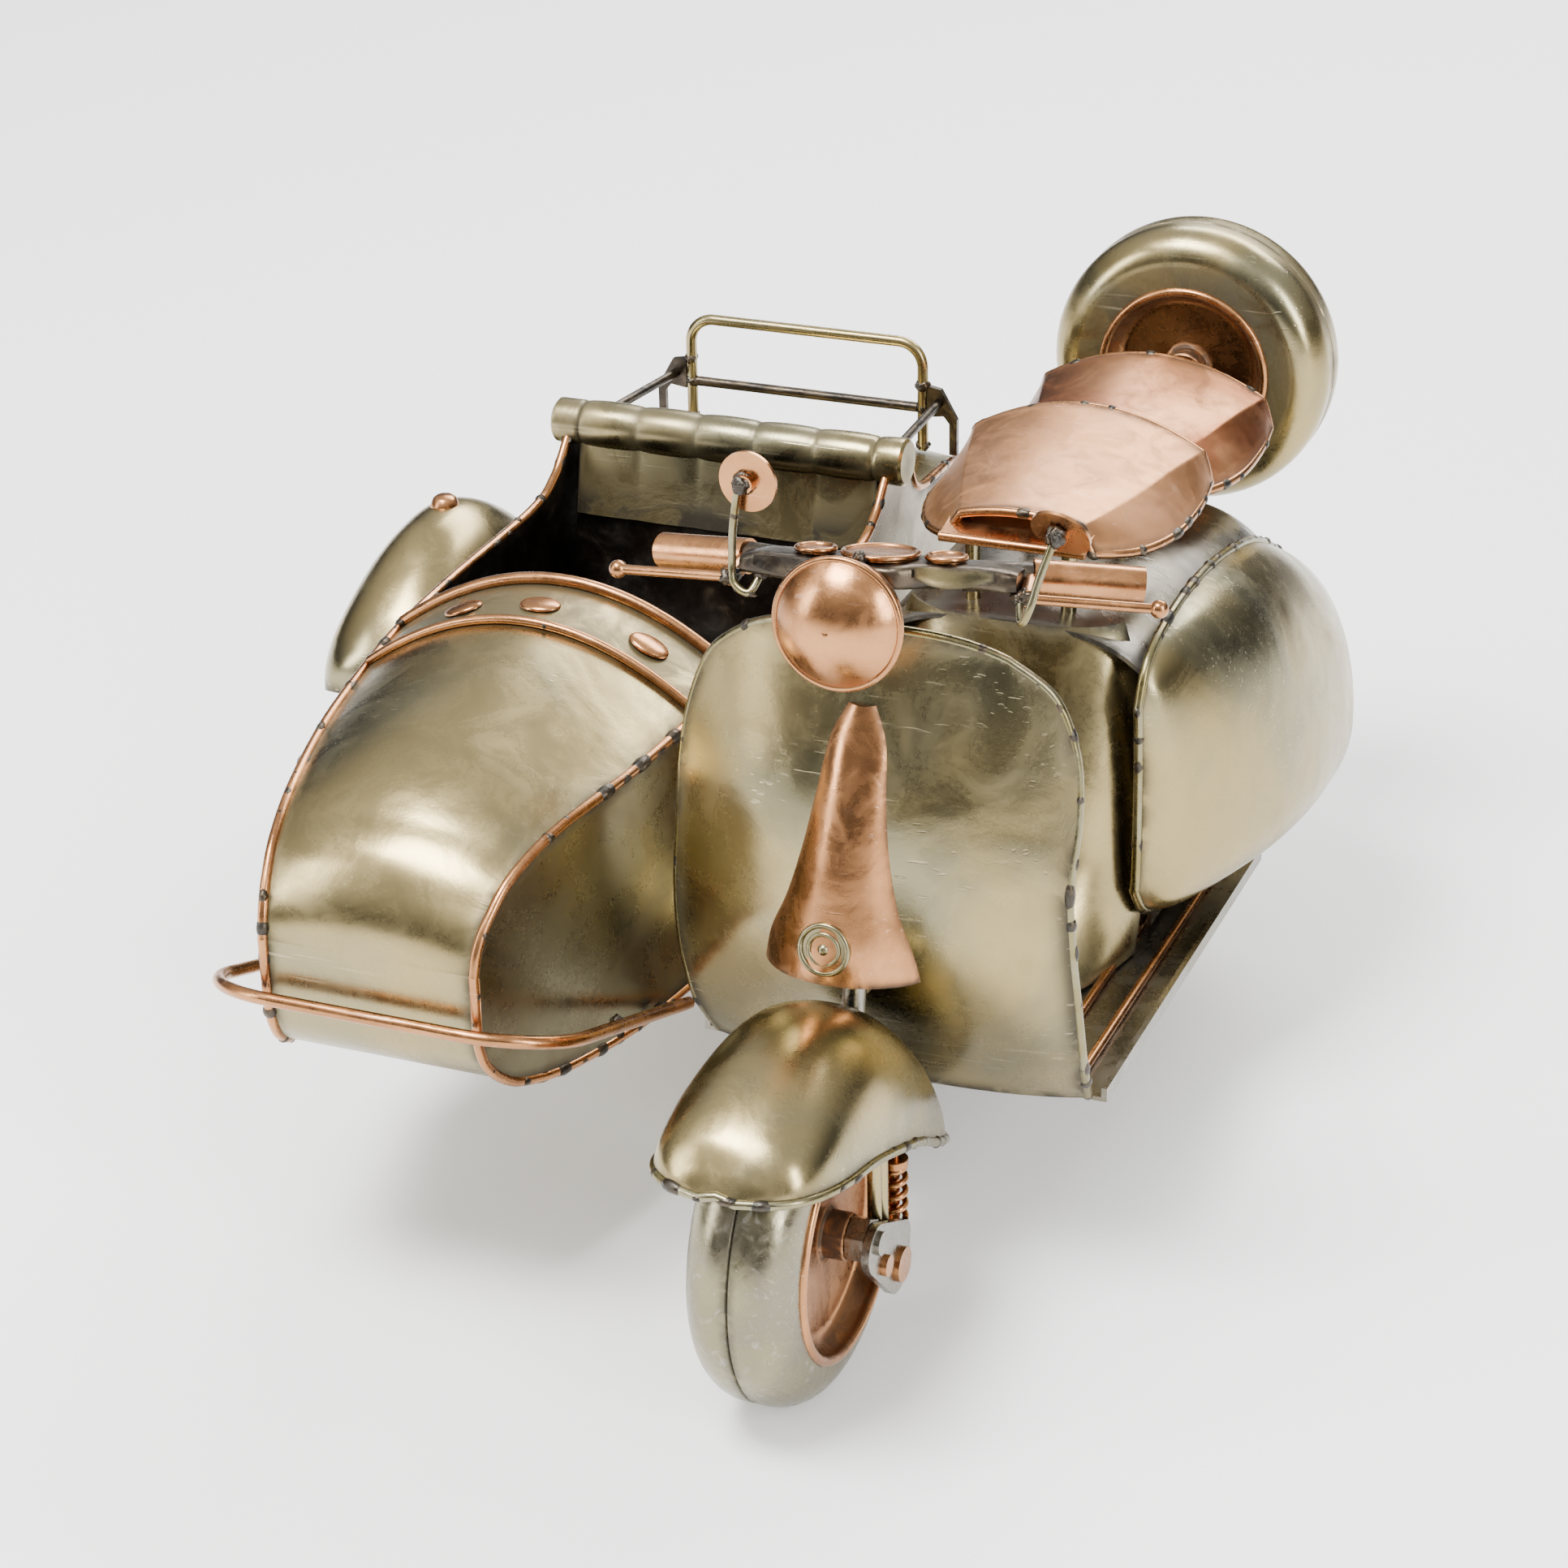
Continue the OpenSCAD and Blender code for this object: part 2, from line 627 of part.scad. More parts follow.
// Rows of a fender from its front lip: y, half width, lip z, crown z
fender_rows = [
  [-31.2, 3.0, 52.0, 52.8], [-29.0, 9.2, 51.9, 56.0], [-24.5, 13.4, 51.4, 60.2], [-16.0, 15.3, 49.6, 63.8],
  [-5.0, 16.0, 47.4, 66.0], [6.0, 16.5, 43.8, 65.8], [15.0, 16.2, 39.8, 62.6], [24.0, 15.4, 34.4, 56.2],
  [32.0, 14.0, 30.0, 47.4], [38.5, 11.6, 26.6, 37.2], [43.4, 7.4, 25.2, 29.4], [45.6, 2.6, 25.0, 26.4]];
fender_count = 16;
fender_cols = 10;
function fender_point(rows, u, a) =
  let (q = along(rows, u), c = cos(a), s = max(sin(a), 0))
  [q[1] * sign(c) * pow(abs(c), 0.9), q[0], q[2] + (q[3] - q[2]) * pow(s, 0.9)];
function fender_mesh(rows, count) = [
  for (i = [0 : count])
    [for (j = [fender_cols : -1 : 0]) fender_point(rows, i / count, 180 * j / fender_cols)]];
fender_grid = fender_mesh(fender_rows, fender_count);

module front_fender() { color(brass) skin(fender_grid); }

// Edge wire round the lip of the front fender
module front_fender_trim() {
  color(brass) wire(concat(
    column_of(fender_grid, 0),
    [fender_grid[fender_count][5]],
    reversed(column_of(fender_grid, fender_cols)),
    [fender_grid[0][5]]), 0.8, closed = true);
}

fork_x = 11.6;
link_x = hub_face + 3.5;
link_t = 1.3;

// Two upright tubes on each side, from the link plate up into the fender
module fork_tubes() {
  color(brass) both_sides() for (y = [5.6, 8.6]) rod([fork_x, y, 23], [fork_x, y, 50], 1.2);
}

module coil(r, wire, low, high, turns) {
  steps = 10;
  wire([for (i = [0 : turns * steps])
    [r * cos(36 * i), r * sin(36 * i), low + (high - low) * i / (turns * steps)]], wire, sides = 6);
}

// Suspension springs behind the fork tubes, each on a soldered pin with a cap
module fork_springs() {
  color(copper) both_sides() translate([12.2, 13.2, 0]) {
    coil(1.8, 0.55, 25.8, 35.6, 4);
    translate([0, 0, 22.5]) cylinder(r = 0.9, h = 22);
    translate([0, 0, 35.6]) cylinder(r = 2.3, h = 1.4);
  }
}

// Link plates from the front axle back to the springs
module fork_links() {
  color(nickel) both_sides() translate([link_x, 0, 0]) rotate([90, 0, 90]) linear_extrude(link_t) difference() {
    hull() {
      translate([-0.5, wheel_r - 1]) circle(4.2);
      translate([9, 19.6]) circle(5);
      translate([11, 23]) circle(3.4);
    }
    translate([0, wheel_r]) circle(axle_r);
  }
}

module link_rivets() {
  color(copper) both_sides() translate([link_x + link_t, 0, 0]) {
    translate([0, 9.4, 19.4]) rotate([0, 90, 0]) cylinder(r = 3, h = 0.9);
    translate([0, 2.4, 23.4]) rotate([0, 90, 0]) cylinder(r = 1.8, h = 0.9);
  }
}

module front_axle() {
  color(nickel) rod([-(link_x + 2), 0, wheel_r], [link_x + 2, 0, wheel_r], axle_r);
}

module axle_nuts() {
  color(nickel) both_sides() translate([hub_face + 0.15, 0, wheel_r]) rotate([0, 90, 0]) difference() {
    cylinder(r = 4.04, h = 3.2, $fn = 6);
    translate([0, 0, -1]) cylinder(r = axle_r, h = 6);
  }
}

// ---------- sidecar ----------

module at_sidecar() { translate([-sidecar_x, 0, 0]) children(); }

// Side view of the body: y, low z, high z, half width, crown of the top sheet
hull_rows = [
  [-4.6, 55.0, 67.0, 19.7, 0.4], [-3.2, 50.6, 71.8, 20.0, 1.2], [0.0, 46.4, 76.0, 20.8, 2.4],
  [6.0, 42.6, 80.6, 22.2, 4.2], [18.0, 39.6, 84.2, 25.0, 7.0], [38.0, 38.2, 86.2, 29.4, 10.0],
  [58.0, 38.0, 87.8, 32.0, 12.0], [74.0, 38.0, 89.2, 33.0, 12.6], [96.0, 38.0, 90.0, 33.4, 12.0],
  [130.0, 38.0, 90.4, 33.6, 8.0], [141.0, 38.0, 93.6, 33.6, 6.0], [149.0, 38.0, 100.4, 33.5, 5.0],
  [158.0, 38.0, 100.4, 33.4, 4.0], [165.0, 38.2, 91.0, 33.2, 3.6], [184.0, 40.0, 88.6, 32.4, 3.0],
  [198.0, 45.0, 84.6, 30.6, 2.0], [204.0, 52.0, 78.6, 29.4, 1.0], [206.0, 60.0, 70.0, 28.8, 0.4]];
dash_y = 74;
deck_y = 165;

function hull_at(y) = station(hull_rows, y);
nose_ys = [-4.6, -3.2, 0, 6, 12, 18, 28, 38, 48, 58, 66, dash_y];
mid_ys = [96, 130, 136, 141, 145, 149, 153.5, 158, 161.5];
tail_ys = [deck_y, 174, 184, 192, 198, 204, 206];
all_ys = concat(nose_ys, mid_ys, tail_ys);

// Side panels: upright sheets that follow the plan curve and rise to the seat back
side_grid = [
  for (y = all_ys) let (q = hull_at(y))
    [for (v = [0, 0.33, 0.67, 1]) [q[3] - 0.02, y, q[2] + (q[1] - q[2]) * v]]];

module sidecar_sides() {
  color(nickel) at_sidecar() both_sides() skin(side_grid);
}

// Cross line of the top, nose or floor sheet between the side panels
sheet_cols = 10;
function sheet_row(y, z, lean, crown, half) = [
  for (j = [0 : sheet_cols])
    let (s = 1 - 2 * j / sheet_cols, k = crown * (1 - s * s))
    [(half - sheet_t - 0.05) * s, y + k * lean[0], z + k * lean[1]]];
function top_row(y) = let (q = hull_at(y), steep = max(0, min(1, (8 - y) / 12)))
  sheet_row(y, q[2], unit([-steep, 1 - 0.6 * steep]), q[4], q[3]);
function low_row(y) = let (q = hull_at(y)) sheet_row(y, q[1], [0, -1], 0, q[3]);

// One sheet from the dash over the nose and back under the floor to the tail
module sidecar_wrap() {
  color(brass) at_sidecar() skin(concat(
    [for (y = reversed(nose_ys)) top_row(y)],
    [for (y = concat(nose_ys, [130], tail_ys)) low_row(y)]));
}

// Rear deck behind the seat, turned down round the tail
module sidecar_deck() {
  color(brass) at_sidecar() skin([for (y = reversed(tail_ys)) top_row(y)]);
}

// Edge wires: along both side panels, across the dash and round the cockpit
module sidecar_trim() {
  edge = concat(
    [for (y = [130, 90, 58]) let (q = hull_at(y)) [q[3] - 0.4, y, q[1]]],
    [for (y = reversed([for (y = nose_ys) if (y <= 38) y])) let (q = hull_at(y)) [q[3] - 0.4, y, q[1]]],
    [for (y = concat(nose_ys, mid_ys, [deck_y, 184, 198])) let (q = hull_at(y)) [q[3] - 0.4, y, q[2]]]);
  color(copper) at_sidecar() both_sides() wire(edge, up = [1, 0, 0]);
}

// Two wires that edge the dash band across the top sheet
module dash_trim() {
  front = top_row(dash_y - 15);
  back = top_row(dash_y);
  rise = [0, 0, 0.85];
  color(copper) at_sidecar() {
    wire([for (p = front) p + rise], 0.85, up = [0, 1, 0]);
    wire([for (p = back) p + rise], 1.1, up = [0, 1, 0]);
  }
}

// Copper studs riveted on the band between the dash wires
module dash_studs() {
  q = hull_at(dash_y - 8);
  color(copper) at_sidecar() for (x = [-15.5, -0.5, 20]) {
    crown = q[4] * (1 - pow(x / q[3], 2));
    tilt = -2 * q[4] * x / pow(q[3], 2);
    translate([x, dash_y - 8, q[2] + crown - 0.1]) rotate([3, -atan(tilt), 0]) cylinder(r = 3.4, h = 0.9);
  }
}

// Bench with a squab and a back that ends in a pleated roll
module sidecar_seat() {
  roll_r = 4.4;
  back_half = 31.5;
  color(brass) at_sidecar() {
    rotate([90, 0, 90]) translate([0, 0, -back_half]) linear_extrude(2 * back_half) polygon([
      [112, 52], [114, 55], [140, 52.5], [149.5, 99], [151.5, 99], [142.5, 50.5], [112, 50.5]]);
    rotate([90, 0, 90]) translate([150.6, 101.6, -36.5]) {
      cylinder(r = roll_r, h = 73);
      for (i = [0 : 5]) translate([0, 0, 6 + 12.2 * i]) cylinder(r = roll_r + 0.25, h = 9.5);
    }
  }
}

hoop_y = 190;
hoop_half = 25;
hoop_top = 111;
hoop_r = 1.1;

// Brass luggage hoop that stands on the rear deck
module luggage_hoop() {
  bend = 5;
  color(brass) at_sidecar() {
    both_sides() {
      rod([hoop_half, hoop_y, 89], [hoop_half, hoop_y, hoop_top - bend], hoop_r);
      translate([hoop_half - bend, hoop_y, hoop_top - bend]) rotate([90, 0, 0])
        rotate_extrude(angle = 90) translate([bend, 0]) circle(hoop_r, $fn = 24);
    }
    rod([-(hoop_half - bend), hoop_y, hoop_top], [hoop_half - bend, hoop_y, hoop_top], hoop_r);
  }
}

// Dark cross bar, gusset plates with legs, and a stay on each side to the seat back
module luggage_frame() {
  bar_z = 97.6;
  inner = hoop_half - hoop_r;
  color(dark) at_sidecar() {
    rod([-inner, hoop_y, bar_z], [inner, hoop_y, bar_z], 1);
    both_sides() {
      translate([0, hoop_y + 0.6, 0]) rotate([90, 0, 0]) linear_extrude(1.2) polygon([
        [hoop_half + hoop_r, 96], [hoop_half + hoop_r, 102.5], [29, 102], [32.4, 96], [32.4, 88.5],
        [30.8, 88.5], [30.8, 95], [29.6, 96.5]]);
      rod([28.4, hoop_y - 0.6, 99], [31, 154.6, 100.6], 0.9);
    }
  }
}

// Copper bumper ring round the nose, tipped down towards its two ends
module sidecar_bumper() {
  ring_r = 1.15;
  half = 33;
  corner = 16;
  reach = 24.6;
  drop = 20;
  color(copper) at_sidecar() translate([0, 15, 49.5]) rotate([-drop, 0, 0]) {
    both_sides() {
      rod([half, 36, 0], [half, -reach + corner, 0], ring_r);
      translate([half - corner, -reach + corner, 0]) rotate([0, 0, -90])
        rotate_extrude(angle = 90) translate([corner, 0]) circle(ring_r, $fn = 24);
    }
    rod([-(half - corner), -reach, 0], [half - corner, -reach, 0], ring_r);
  }
}

// Rows of the sidecar fender from its front lip, about the wheel: y, half width, lip z, crown z
side_fender_rows = [
  [-34.5, 5.0, 43.0, 46.5], [-32.5, 11.5, 42.2, 52.0], [-26.0, 15.6, 39.4, 59.5], [-15.0, 17.0, 35.2, 67.0],
  [-4.0, 17.0, 33.0, 70.8], [8.0, 17.0, 32.0, 70.8], [20.0, 17.0, 31.6, 65.0], [30.0, 16.0, 31.6, 55.0],
  [36.0, 12.0, 32.0, 45.0], [37.5, 5.0, 32.4, 37.0]];
side_fender_grid = fender_mesh(side_fender_rows, 16);

// Fender over the sidecar wheel, with its lamp rivet and a stay to the body
module sidecar_fender() {
  color(brass) translate([-side_wheel_x, wheelbase, 0]) {
    skin(side_fender_grid);
    translate([-1, 3, 70.6]) cylinder(r1 = 3, r2 = 2, h = 2.6);
    rod([16.2, 0, 50], [side_wheel_x - sidecar_x - 33.6, 0, 50], 1.5);
  }
}

// Axle of the sidecar wheel, its two hangers under the floor and the two links to the scooter
module sidecar_axle() {
  inner_x = -(sidecar_x + 20);
  color(nickel) {
    rod([-(side_wheel_x + hub_face + 3.6), wheelbase, wheel_r], [-50, wheelbase, wheel_r], axle_r);
    for (x = [inner_x - 6, -60]) translate([x, wheelbase - 3, wheel_r]) cube([5, 6, 8]);
    for (y = [70, 128]) rod([-50, y, 37.4], [-35.8, y, 34.4], 1.6);
    for (x = [-(side_wheel_x + hub_face + 3.05), -(side_wheel_x - hub_face - 0.15)])
      translate([x, wheelbase, wheel_r]) rotate([0, 90, 0]) difference() {
        cylinder(r = 4.04, h = 2.9, $fn = 6);
        translate([0, 0, -1]) cylinder(r = axle_r, h = 6);
      }
  }
}

// ---------- drawing ----------

module place() { translate(shift) children(); }

place() leg_shield();
place() leg_shield_trim();
place() horn_cover();
place() horn_badge();
place() head_tube();
place() floorboard();
place() floor_runners();
place() body_front();
place() body_wrap();
place() body_side_left();
place() body_side_right();
place() left_cowl();
place() left_cowl_trim();
place() front_seat();
place() front_seat_trim();
place() rear_seat();
place() rear_seat_trim();
place() seat_bracket();
place() seat_posts();
place() rear_frame();
place() rear_axle();
place() spare_tyre();
place() spare_hub();
place() spare_carrier();
place() steering_column();
place() handlebar();
place() gauges();
place() headlamp_shell();
place() headlamp_lens();
place() headlamp_rim();
place() grips();
place() levers();
place() mirror_stems();
place() mirrors();
place() front_fender();
place() front_fender_trim();
place() fork_tubes();
place() fork_springs();
place() fork_links();
place() link_rivets();
place() front_axle();
place() axle_nuts();
place() front_tyre();
place() front_hub();
place() rear_tyre();
place() rear_hub();
place() sidecar_sides();
place() sidecar_wrap();
place() sidecar_deck();
place() sidecar_trim();
place() dash_trim();
place() dash_studs();
place() sidecar_seat();
place() luggage_hoop();
place() luggage_frame();
place() sidecar_bumper();
place() sidecar_fender();
place() sidecar_axle();
place() sidecar_tyre();
place() sidecar_hub();
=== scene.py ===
import math

import bmesh
import bpy
import numpy as np
from mathutils import Matrix, Vector


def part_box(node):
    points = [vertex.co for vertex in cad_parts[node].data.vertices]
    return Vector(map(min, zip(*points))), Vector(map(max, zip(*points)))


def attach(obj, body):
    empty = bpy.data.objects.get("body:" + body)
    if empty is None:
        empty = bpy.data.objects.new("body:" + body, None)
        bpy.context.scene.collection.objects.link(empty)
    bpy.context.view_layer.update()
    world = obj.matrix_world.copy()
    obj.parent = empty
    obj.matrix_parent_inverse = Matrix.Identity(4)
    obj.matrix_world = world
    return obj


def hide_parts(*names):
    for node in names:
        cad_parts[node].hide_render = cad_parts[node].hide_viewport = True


bl_info = {
    "name": "Sheet-metal scooter and sidecar",
    "version": (1, 0, 0),
    "blender": (4, 5, 0),
    "location": "3D View > Sidebar > Scooter",
    "description": "Builds the skins, edge wires, wheels and finishes of a soldered scooter with a sidecar",
    "category": "Object",
}

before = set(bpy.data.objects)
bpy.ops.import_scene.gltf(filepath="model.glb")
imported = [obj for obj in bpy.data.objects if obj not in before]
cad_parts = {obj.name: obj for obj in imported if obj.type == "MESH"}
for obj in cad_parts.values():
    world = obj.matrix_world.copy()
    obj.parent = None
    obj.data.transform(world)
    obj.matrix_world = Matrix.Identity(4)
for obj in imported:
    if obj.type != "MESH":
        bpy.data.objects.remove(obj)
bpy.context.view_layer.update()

# The layout below is in millimetres about the front axle, as the CAD's is; the axle node gives its place.
AXLE = np.array(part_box("front_axle"), float).mean(axis=0)
SHIFT = np.array([AXLE[0] * 1000, AXLE[1] * 1000, 0.0])

# ---------- sizes of the layout ----------

CREASE = math.radians(38)
RAKE = math.radians(12)
WHEEL_R = 29.0
NECK = np.array([0, 27.5, 58.0])
WHEELBASE = 168.0
SIDE_WHEEL_X = 145.0
SIDECAR_X = 72.5
SPARE = np.array([2.0, 213.0, 106.2])
SPARE_R = 28.0
TYRE_W = 18.6
RIM_R = 20.2
BEAD_IN = 8.4
SHOULDER = 7.6
SPARE_BEAD = 11.2
SPARE_SHOULDER = 6.6
DISC_X = 5.6
HUB_FACE = 9.7
BODY_HALF = 26.0
BODY_START = 104.0
COVER_LEAN = 2.4
COWL_BULGE = 22.0
REAR_SEAT_SHIFT = np.array([0, 41.5, -4.0])
NOSE_Y, DASH_Y, DECK_Y, TAIL_Y = -4.6, 74.0, 165.0, 206.0
DASH_BAND = 15.0
INSET = 0.85
WIRE_LIFT = 0.85

# ---------- rows of the sheet parts, each smoothed by catmull() ----------

# half width, edge y, edge z, middle y, middle z
SHIELD_ROWS = [
    [22.0, 39.5, 115.5, 36.5, 119.5], [29.3, 41.0, 109.5, 34.2, 111.0], [33.2, 40.6, 100.0, 31.0, 100.5],
    [34.3, 38.6, 90.0, 28.0, 90.0], [34.0, 35.6, 79.0, 26.4, 79.0], [34.6, 35.4, 68.0, 26.4, 68.0],
    [35.1, 37.6, 56.0, 31.0, 56.0], [34.8, 42.0, 43.5, 39.8, 43.5], [33.6, 48.6, 33.8, 46.8, 32.2]]
# z, half width, ridge y
COVER_ROWS = [
    [107.5, 2.2, 32.0], [102.0, 4.6, 29.6], [93.0, 5.8, 25.8], [84.0, 7.2, 22.8],
    [75.0, 9.4, 20.6], [67.5, 12.2, 18.9], [61.5, 13.4, 18.0]]
# z, edge y, half width
FRONT_ROWS = [
    [93.5, 103.0, 20.0], [80.0, 98.0, 24.0], [66.0, 93.0, 25.6],
    [52.0, 88.5, 26.0], [41.0, 81.0, 26.0], [33.4, 69.0, 26.0]]
# y, z
TOP_LINE = [[103, 93.6], [130, 94.0], [160, 93.6], [177, 91], [189, 84], [196, 73], [199, 56], [199, 36]]
# y, bottom z, widest z, top z, share of the bulge
COWL_ROWS = [
    [98.0, 47.0, 60.0, 82.0, 0.02], [101.0, 42.0, 56.0, 88.5, 0.30], [107.0, 40.2, 54.0, 92.0, 0.50],
    [118.0, 39.6, 53.0, 94.0, 0.73], [133.0, 38.8, 52.0, 94.2, 0.92], [150.0, 38.2, 51.0, 92.0, 1.0],
    [168.0, 38.2, 50.5, 87.5, 0.98], [184.0, 40.0, 51.0, 80.0, 0.80], [196.0, 44.0, 54.0, 72.0, 0.50],
    [201.5, 50.0, 57.0, 65.0, 0.06]]
# y, bottom half width, bottom z, top z, top half width, crown
SEAT_ROWS = [
    [110.0, 13.5, 105.4, 111.3, 11.0, 1.4], [117.0, 19.5, 104.0, 111.8, 13.0, 2.0],
    [127.0, 23.3, 103.8, 112.8, 16.0, 2.6], [139.0, 24.0, 104.4, 115.0, 19.0, 4.0],
    [149.5, 23.2, 105.6, 117.4, 21.6, 6.4]]
# y, half width, bottom z, top z
FENDER_ROWS = [
    [-31.2, 3.0, 52.0, 52.8], [-29.0, 9.2, 51.9, 56.0], [-24.5, 13.4, 51.4, 60.2], [-16.0, 15.3, 49.6, 63.8],
    [-5.0, 16.0, 47.4, 66.0], [6.0, 16.5, 43.8, 65.8], [15.0, 16.2, 39.8, 62.6], [24.0, 15.4, 34.4, 56.2],
    [32.0, 14.0, 30.0, 47.4], [38.5, 11.6, 26.6, 37.2], [43.4, 7.4, 25.2, 29.4], [45.6, 2.6, 25.0, 26.4]]
SIDE_FENDER_ROWS = [
    [-34.5, 5.0, 43.0, 46.5], [-32.5, 11.5, 42.2, 52.0], [-26.0, 15.6, 39.4, 59.5], [-15.0, 17.0, 35.2, 67.0],
    [-4.0, 17.0, 33.0, 70.8], [8.0, 17.0, 32.0, 70.8], [20.0, 17.0, 31.6, 65.0], [30.0, 16.0, 31.6, 55.0],
    [36.0, 12.0, 32.0, 45.0], [37.5, 5.0, 32.4, 37.0]]
# y, bottom z, top z, half width, crown
HULL_ROWS = [
    [-4.6, 55.0, 67.0, 19.7, 0.4], [-3.2, 50.6, 71.8, 20.0, 1.2], [0.0, 46.4, 76.0, 20.8, 2.4],
    [6.0, 42.6, 80.6, 22.2, 4.2], [18.0, 39.6, 84.2, 25.0, 7.0], [38.0, 38.2, 86.2, 29.4, 10.0],
    [58.0, 38.0, 87.8, 32.0, 12.0], [74.0, 38.0, 89.2, 33.0, 12.6], [96.0, 38.0, 90.0, 33.4, 12.0],
    [130.0, 38.0, 90.4, 33.6, 8.0], [141.0, 38.0, 93.6, 33.6, 6.0], [149.0, 38.0, 100.4, 33.5, 5.0],
    [158.0, 38.0, 100.4, 33.4, 4.0], [165.0, 38.2, 91.0, 33.2, 3.6], [184.0, 40.0, 88.6, 32.4, 3.0],
    [198.0, 45.0, 84.6, 30.6, 2.0], [204.0, 52.0, 78.6, 29.4, 1.0], [206.0, 60.0, 70.0, 28.8, 0.4]]


# ---------- curves and grids ----------

def catmull(a, b, c, d, t):
    """One span of the smooth curve that the CAD draws through its rows."""
    return (2 * b + (c - a) * t + (2 * a - 5 * b + 4 * c - d) * t**2 + (3 * b - a - 3 * c + d) * t**3) / 2


def span(rows, i, t):
    rows = np.asarray(rows, float)
    last = len(rows) - 1
    near = [rows[np.clip(i + k, 0, last)] for k in (-1, 0, 1, 2)]
    return catmull(*near, np.asarray(t)[:, None])


def along(rows, u):
    """Rows at the shares u of the whole list."""
    s = np.atleast_1d(np.asarray(u, float)) * (len(rows) - 1)
    i = np.minimum(np.floor(s).astype(int), len(rows) - 2)
    return span(rows, i, s - i)


def station(rows, y):
    """Rows at the distances y, which are the rows' first column."""
    y = np.atleast_1d(np.asarray(y, float))
    ys = np.array([r[0] for r in rows], float)
    i = np.clip(np.searchsorted(ys, y, side="right") - 1, 0, len(rows) - 2)
    return span(rows, i, (y - ys[i]) / (ys[i + 1] - ys[i]))


def stack(x, y, z):
    return np.stack(np.broadcast_arrays(x, y, z), axis=-1).astype(float)


def flip(points):
    return np.asarray(points) * np.array([-1.0, 1, 1])


def in_neck(points):
    """Points in the neck's frame, whose z is the steering axis, moved to the layout."""
    p = np.asarray(points, float)
    c, s = math.cos(RAKE), math.sin(RAKE)
    x, y, z = p[..., 0], p[..., 1], p[..., 2]
    return NECK + np.stack([x, y * c + z * s, z * c - y * s], axis=-1)


def shield_grid(rows=90, cols=64):
    q = along(SHIELD_ROWS, np.linspace(0, 1, rows + 1))[:, :, None]
    s = np.linspace(-1, 1, cols + 1)[None, :]
    a = np.abs(s)
    y = q[:, 3] + (q[:, 1] - q[:, 3]) * a**2.2
    return stack(q[:, 0] * s, y, q[:, 4] + (q[:, 2] - q[:, 4]) * a**3)


def shield_y(x, z):
    """The shield's front at the points x, z."""
    u = np.linspace(0, 1, 600)
    q = along(SHIELD_ROWS, u)
    here = np.interp(z, q[::-1, 4], u[::-1])
    q = along(SHIELD_ROWS, here.ravel()).reshape(here.shape + (5,))
    return q[..., 3] + (q[..., 1] - q[..., 3]) * (np.abs(x) / q[..., 0]) ** 2.2


def cover_grid(rows=64, cols=40):
    u = np.linspace(0, 1, rows + 1)[:, None]
    q = along(COVER_ROWS, u.ravel())[:, :, None]
    s = np.linspace(-1, 1, cols + 1)[None, :]
    swell = 1 - s * s
    x, z = np.broadcast_arrays(q[:, 1] * s - COVER_LEAN * u**1.5, q[:, 0])
    ridge = q[:, 2] - shield_y(np.zeros_like(z), z)
    return stack(x, shield_y(x, z) - 0.05 + ridge * swell**0.8, z + 2.4 * u**4 * swell)


def front_grid(rows=50, cols=48):
    q = along(FRONT_ROWS, np.linspace(0, 1, rows + 1))[:, :, None]
    s = 0.97 * np.sin(np.linspace(-math.pi / 2, math.pi / 2, cols + 1))[None, :]
    bow = BODY_START + 8 - q[:, 1]
    return stack(q[:, 2] * s, q[:, 1] + bow * (1 - np.sqrt(1 - np.abs(s) ** 2.6 + 0.0001)), q[:, 0])


def wrap_grid(rows=110, cols=30):
    u = np.linspace(0, 1, rows + 1)
    p = along(TOP_LINE, u)
    q = along(TOP_LINE, np.minimum(1, u + 0.02)) - along(TOP_LINE, np.maximum(0, u - 0.02))
    q /= np.linalg.norm(q, axis=1)[:, None]
    s = np.linspace(-1, 1, cols + 1)[None, :]
    drop = 7 * np.abs(s) ** 3.5
    return stack(BODY_HALF * s, p[:, :1] + drop * q[:, 1:], p[:, 1:] - drop * q[:, :1])


def cowl_grid(rows=110, cols=64):
    q = along(COWL_ROWS, np.linspace(0, 1, rows + 1))[:, :, None]
    a = np.radians(np.linspace(2, 178, cols + 1))[None, :]
    c, s = np.cos(a), np.maximum(np.sin(a), 0)
    bulge = (COWL_BULGE - 0.1) * np.minimum(1, q[:, 4]) * s ** np.where(c > 0, 1.05, 0.6)
    reach = np.where(c > 0, q[:, 3] - q[:, 2], q[:, 2] - q[:, 1])
    return stack(BODY_HALF + 0.1 + bulge, q[:, 0], q[:, 2] + reach * c)


def seat_grid(rows=60):
    """Seat sheet: a crowned top between two turned-down sides, with a tight fold at the share 0.9."""
    q = along(SEAT_ROWS, np.linspace(0, 1, rows + 1))[:, :, None]
    at = 0.9
    fold = np.concatenate([np.linspace(1, at + 0.01, 8), [at + 0.003, at, at - 0.008]])
    s = np.concatenate([fold, np.linspace(0.86, -0.86, 43), -fold[::-1]])
    side, a = np.sign(s)[None, :], np.abs(s)[None, :]
    t = np.clip((a - at) / (1 - at), 0, 1)
    top_x = q[:, 4] * np.clip(s / at, -1, 1)[None, :]
    top_z = q[:, 3] - q[:, 5] * np.minimum(a / at, 1) ** 2
    puff = 0.08 * np.sin(math.pi * t)
    x = top_x + (side * q[:, 1] - top_x) * t + side * puff
    return stack(x, q[:, 0], top_z + (q[:, 2] - top_z) * t + puff)


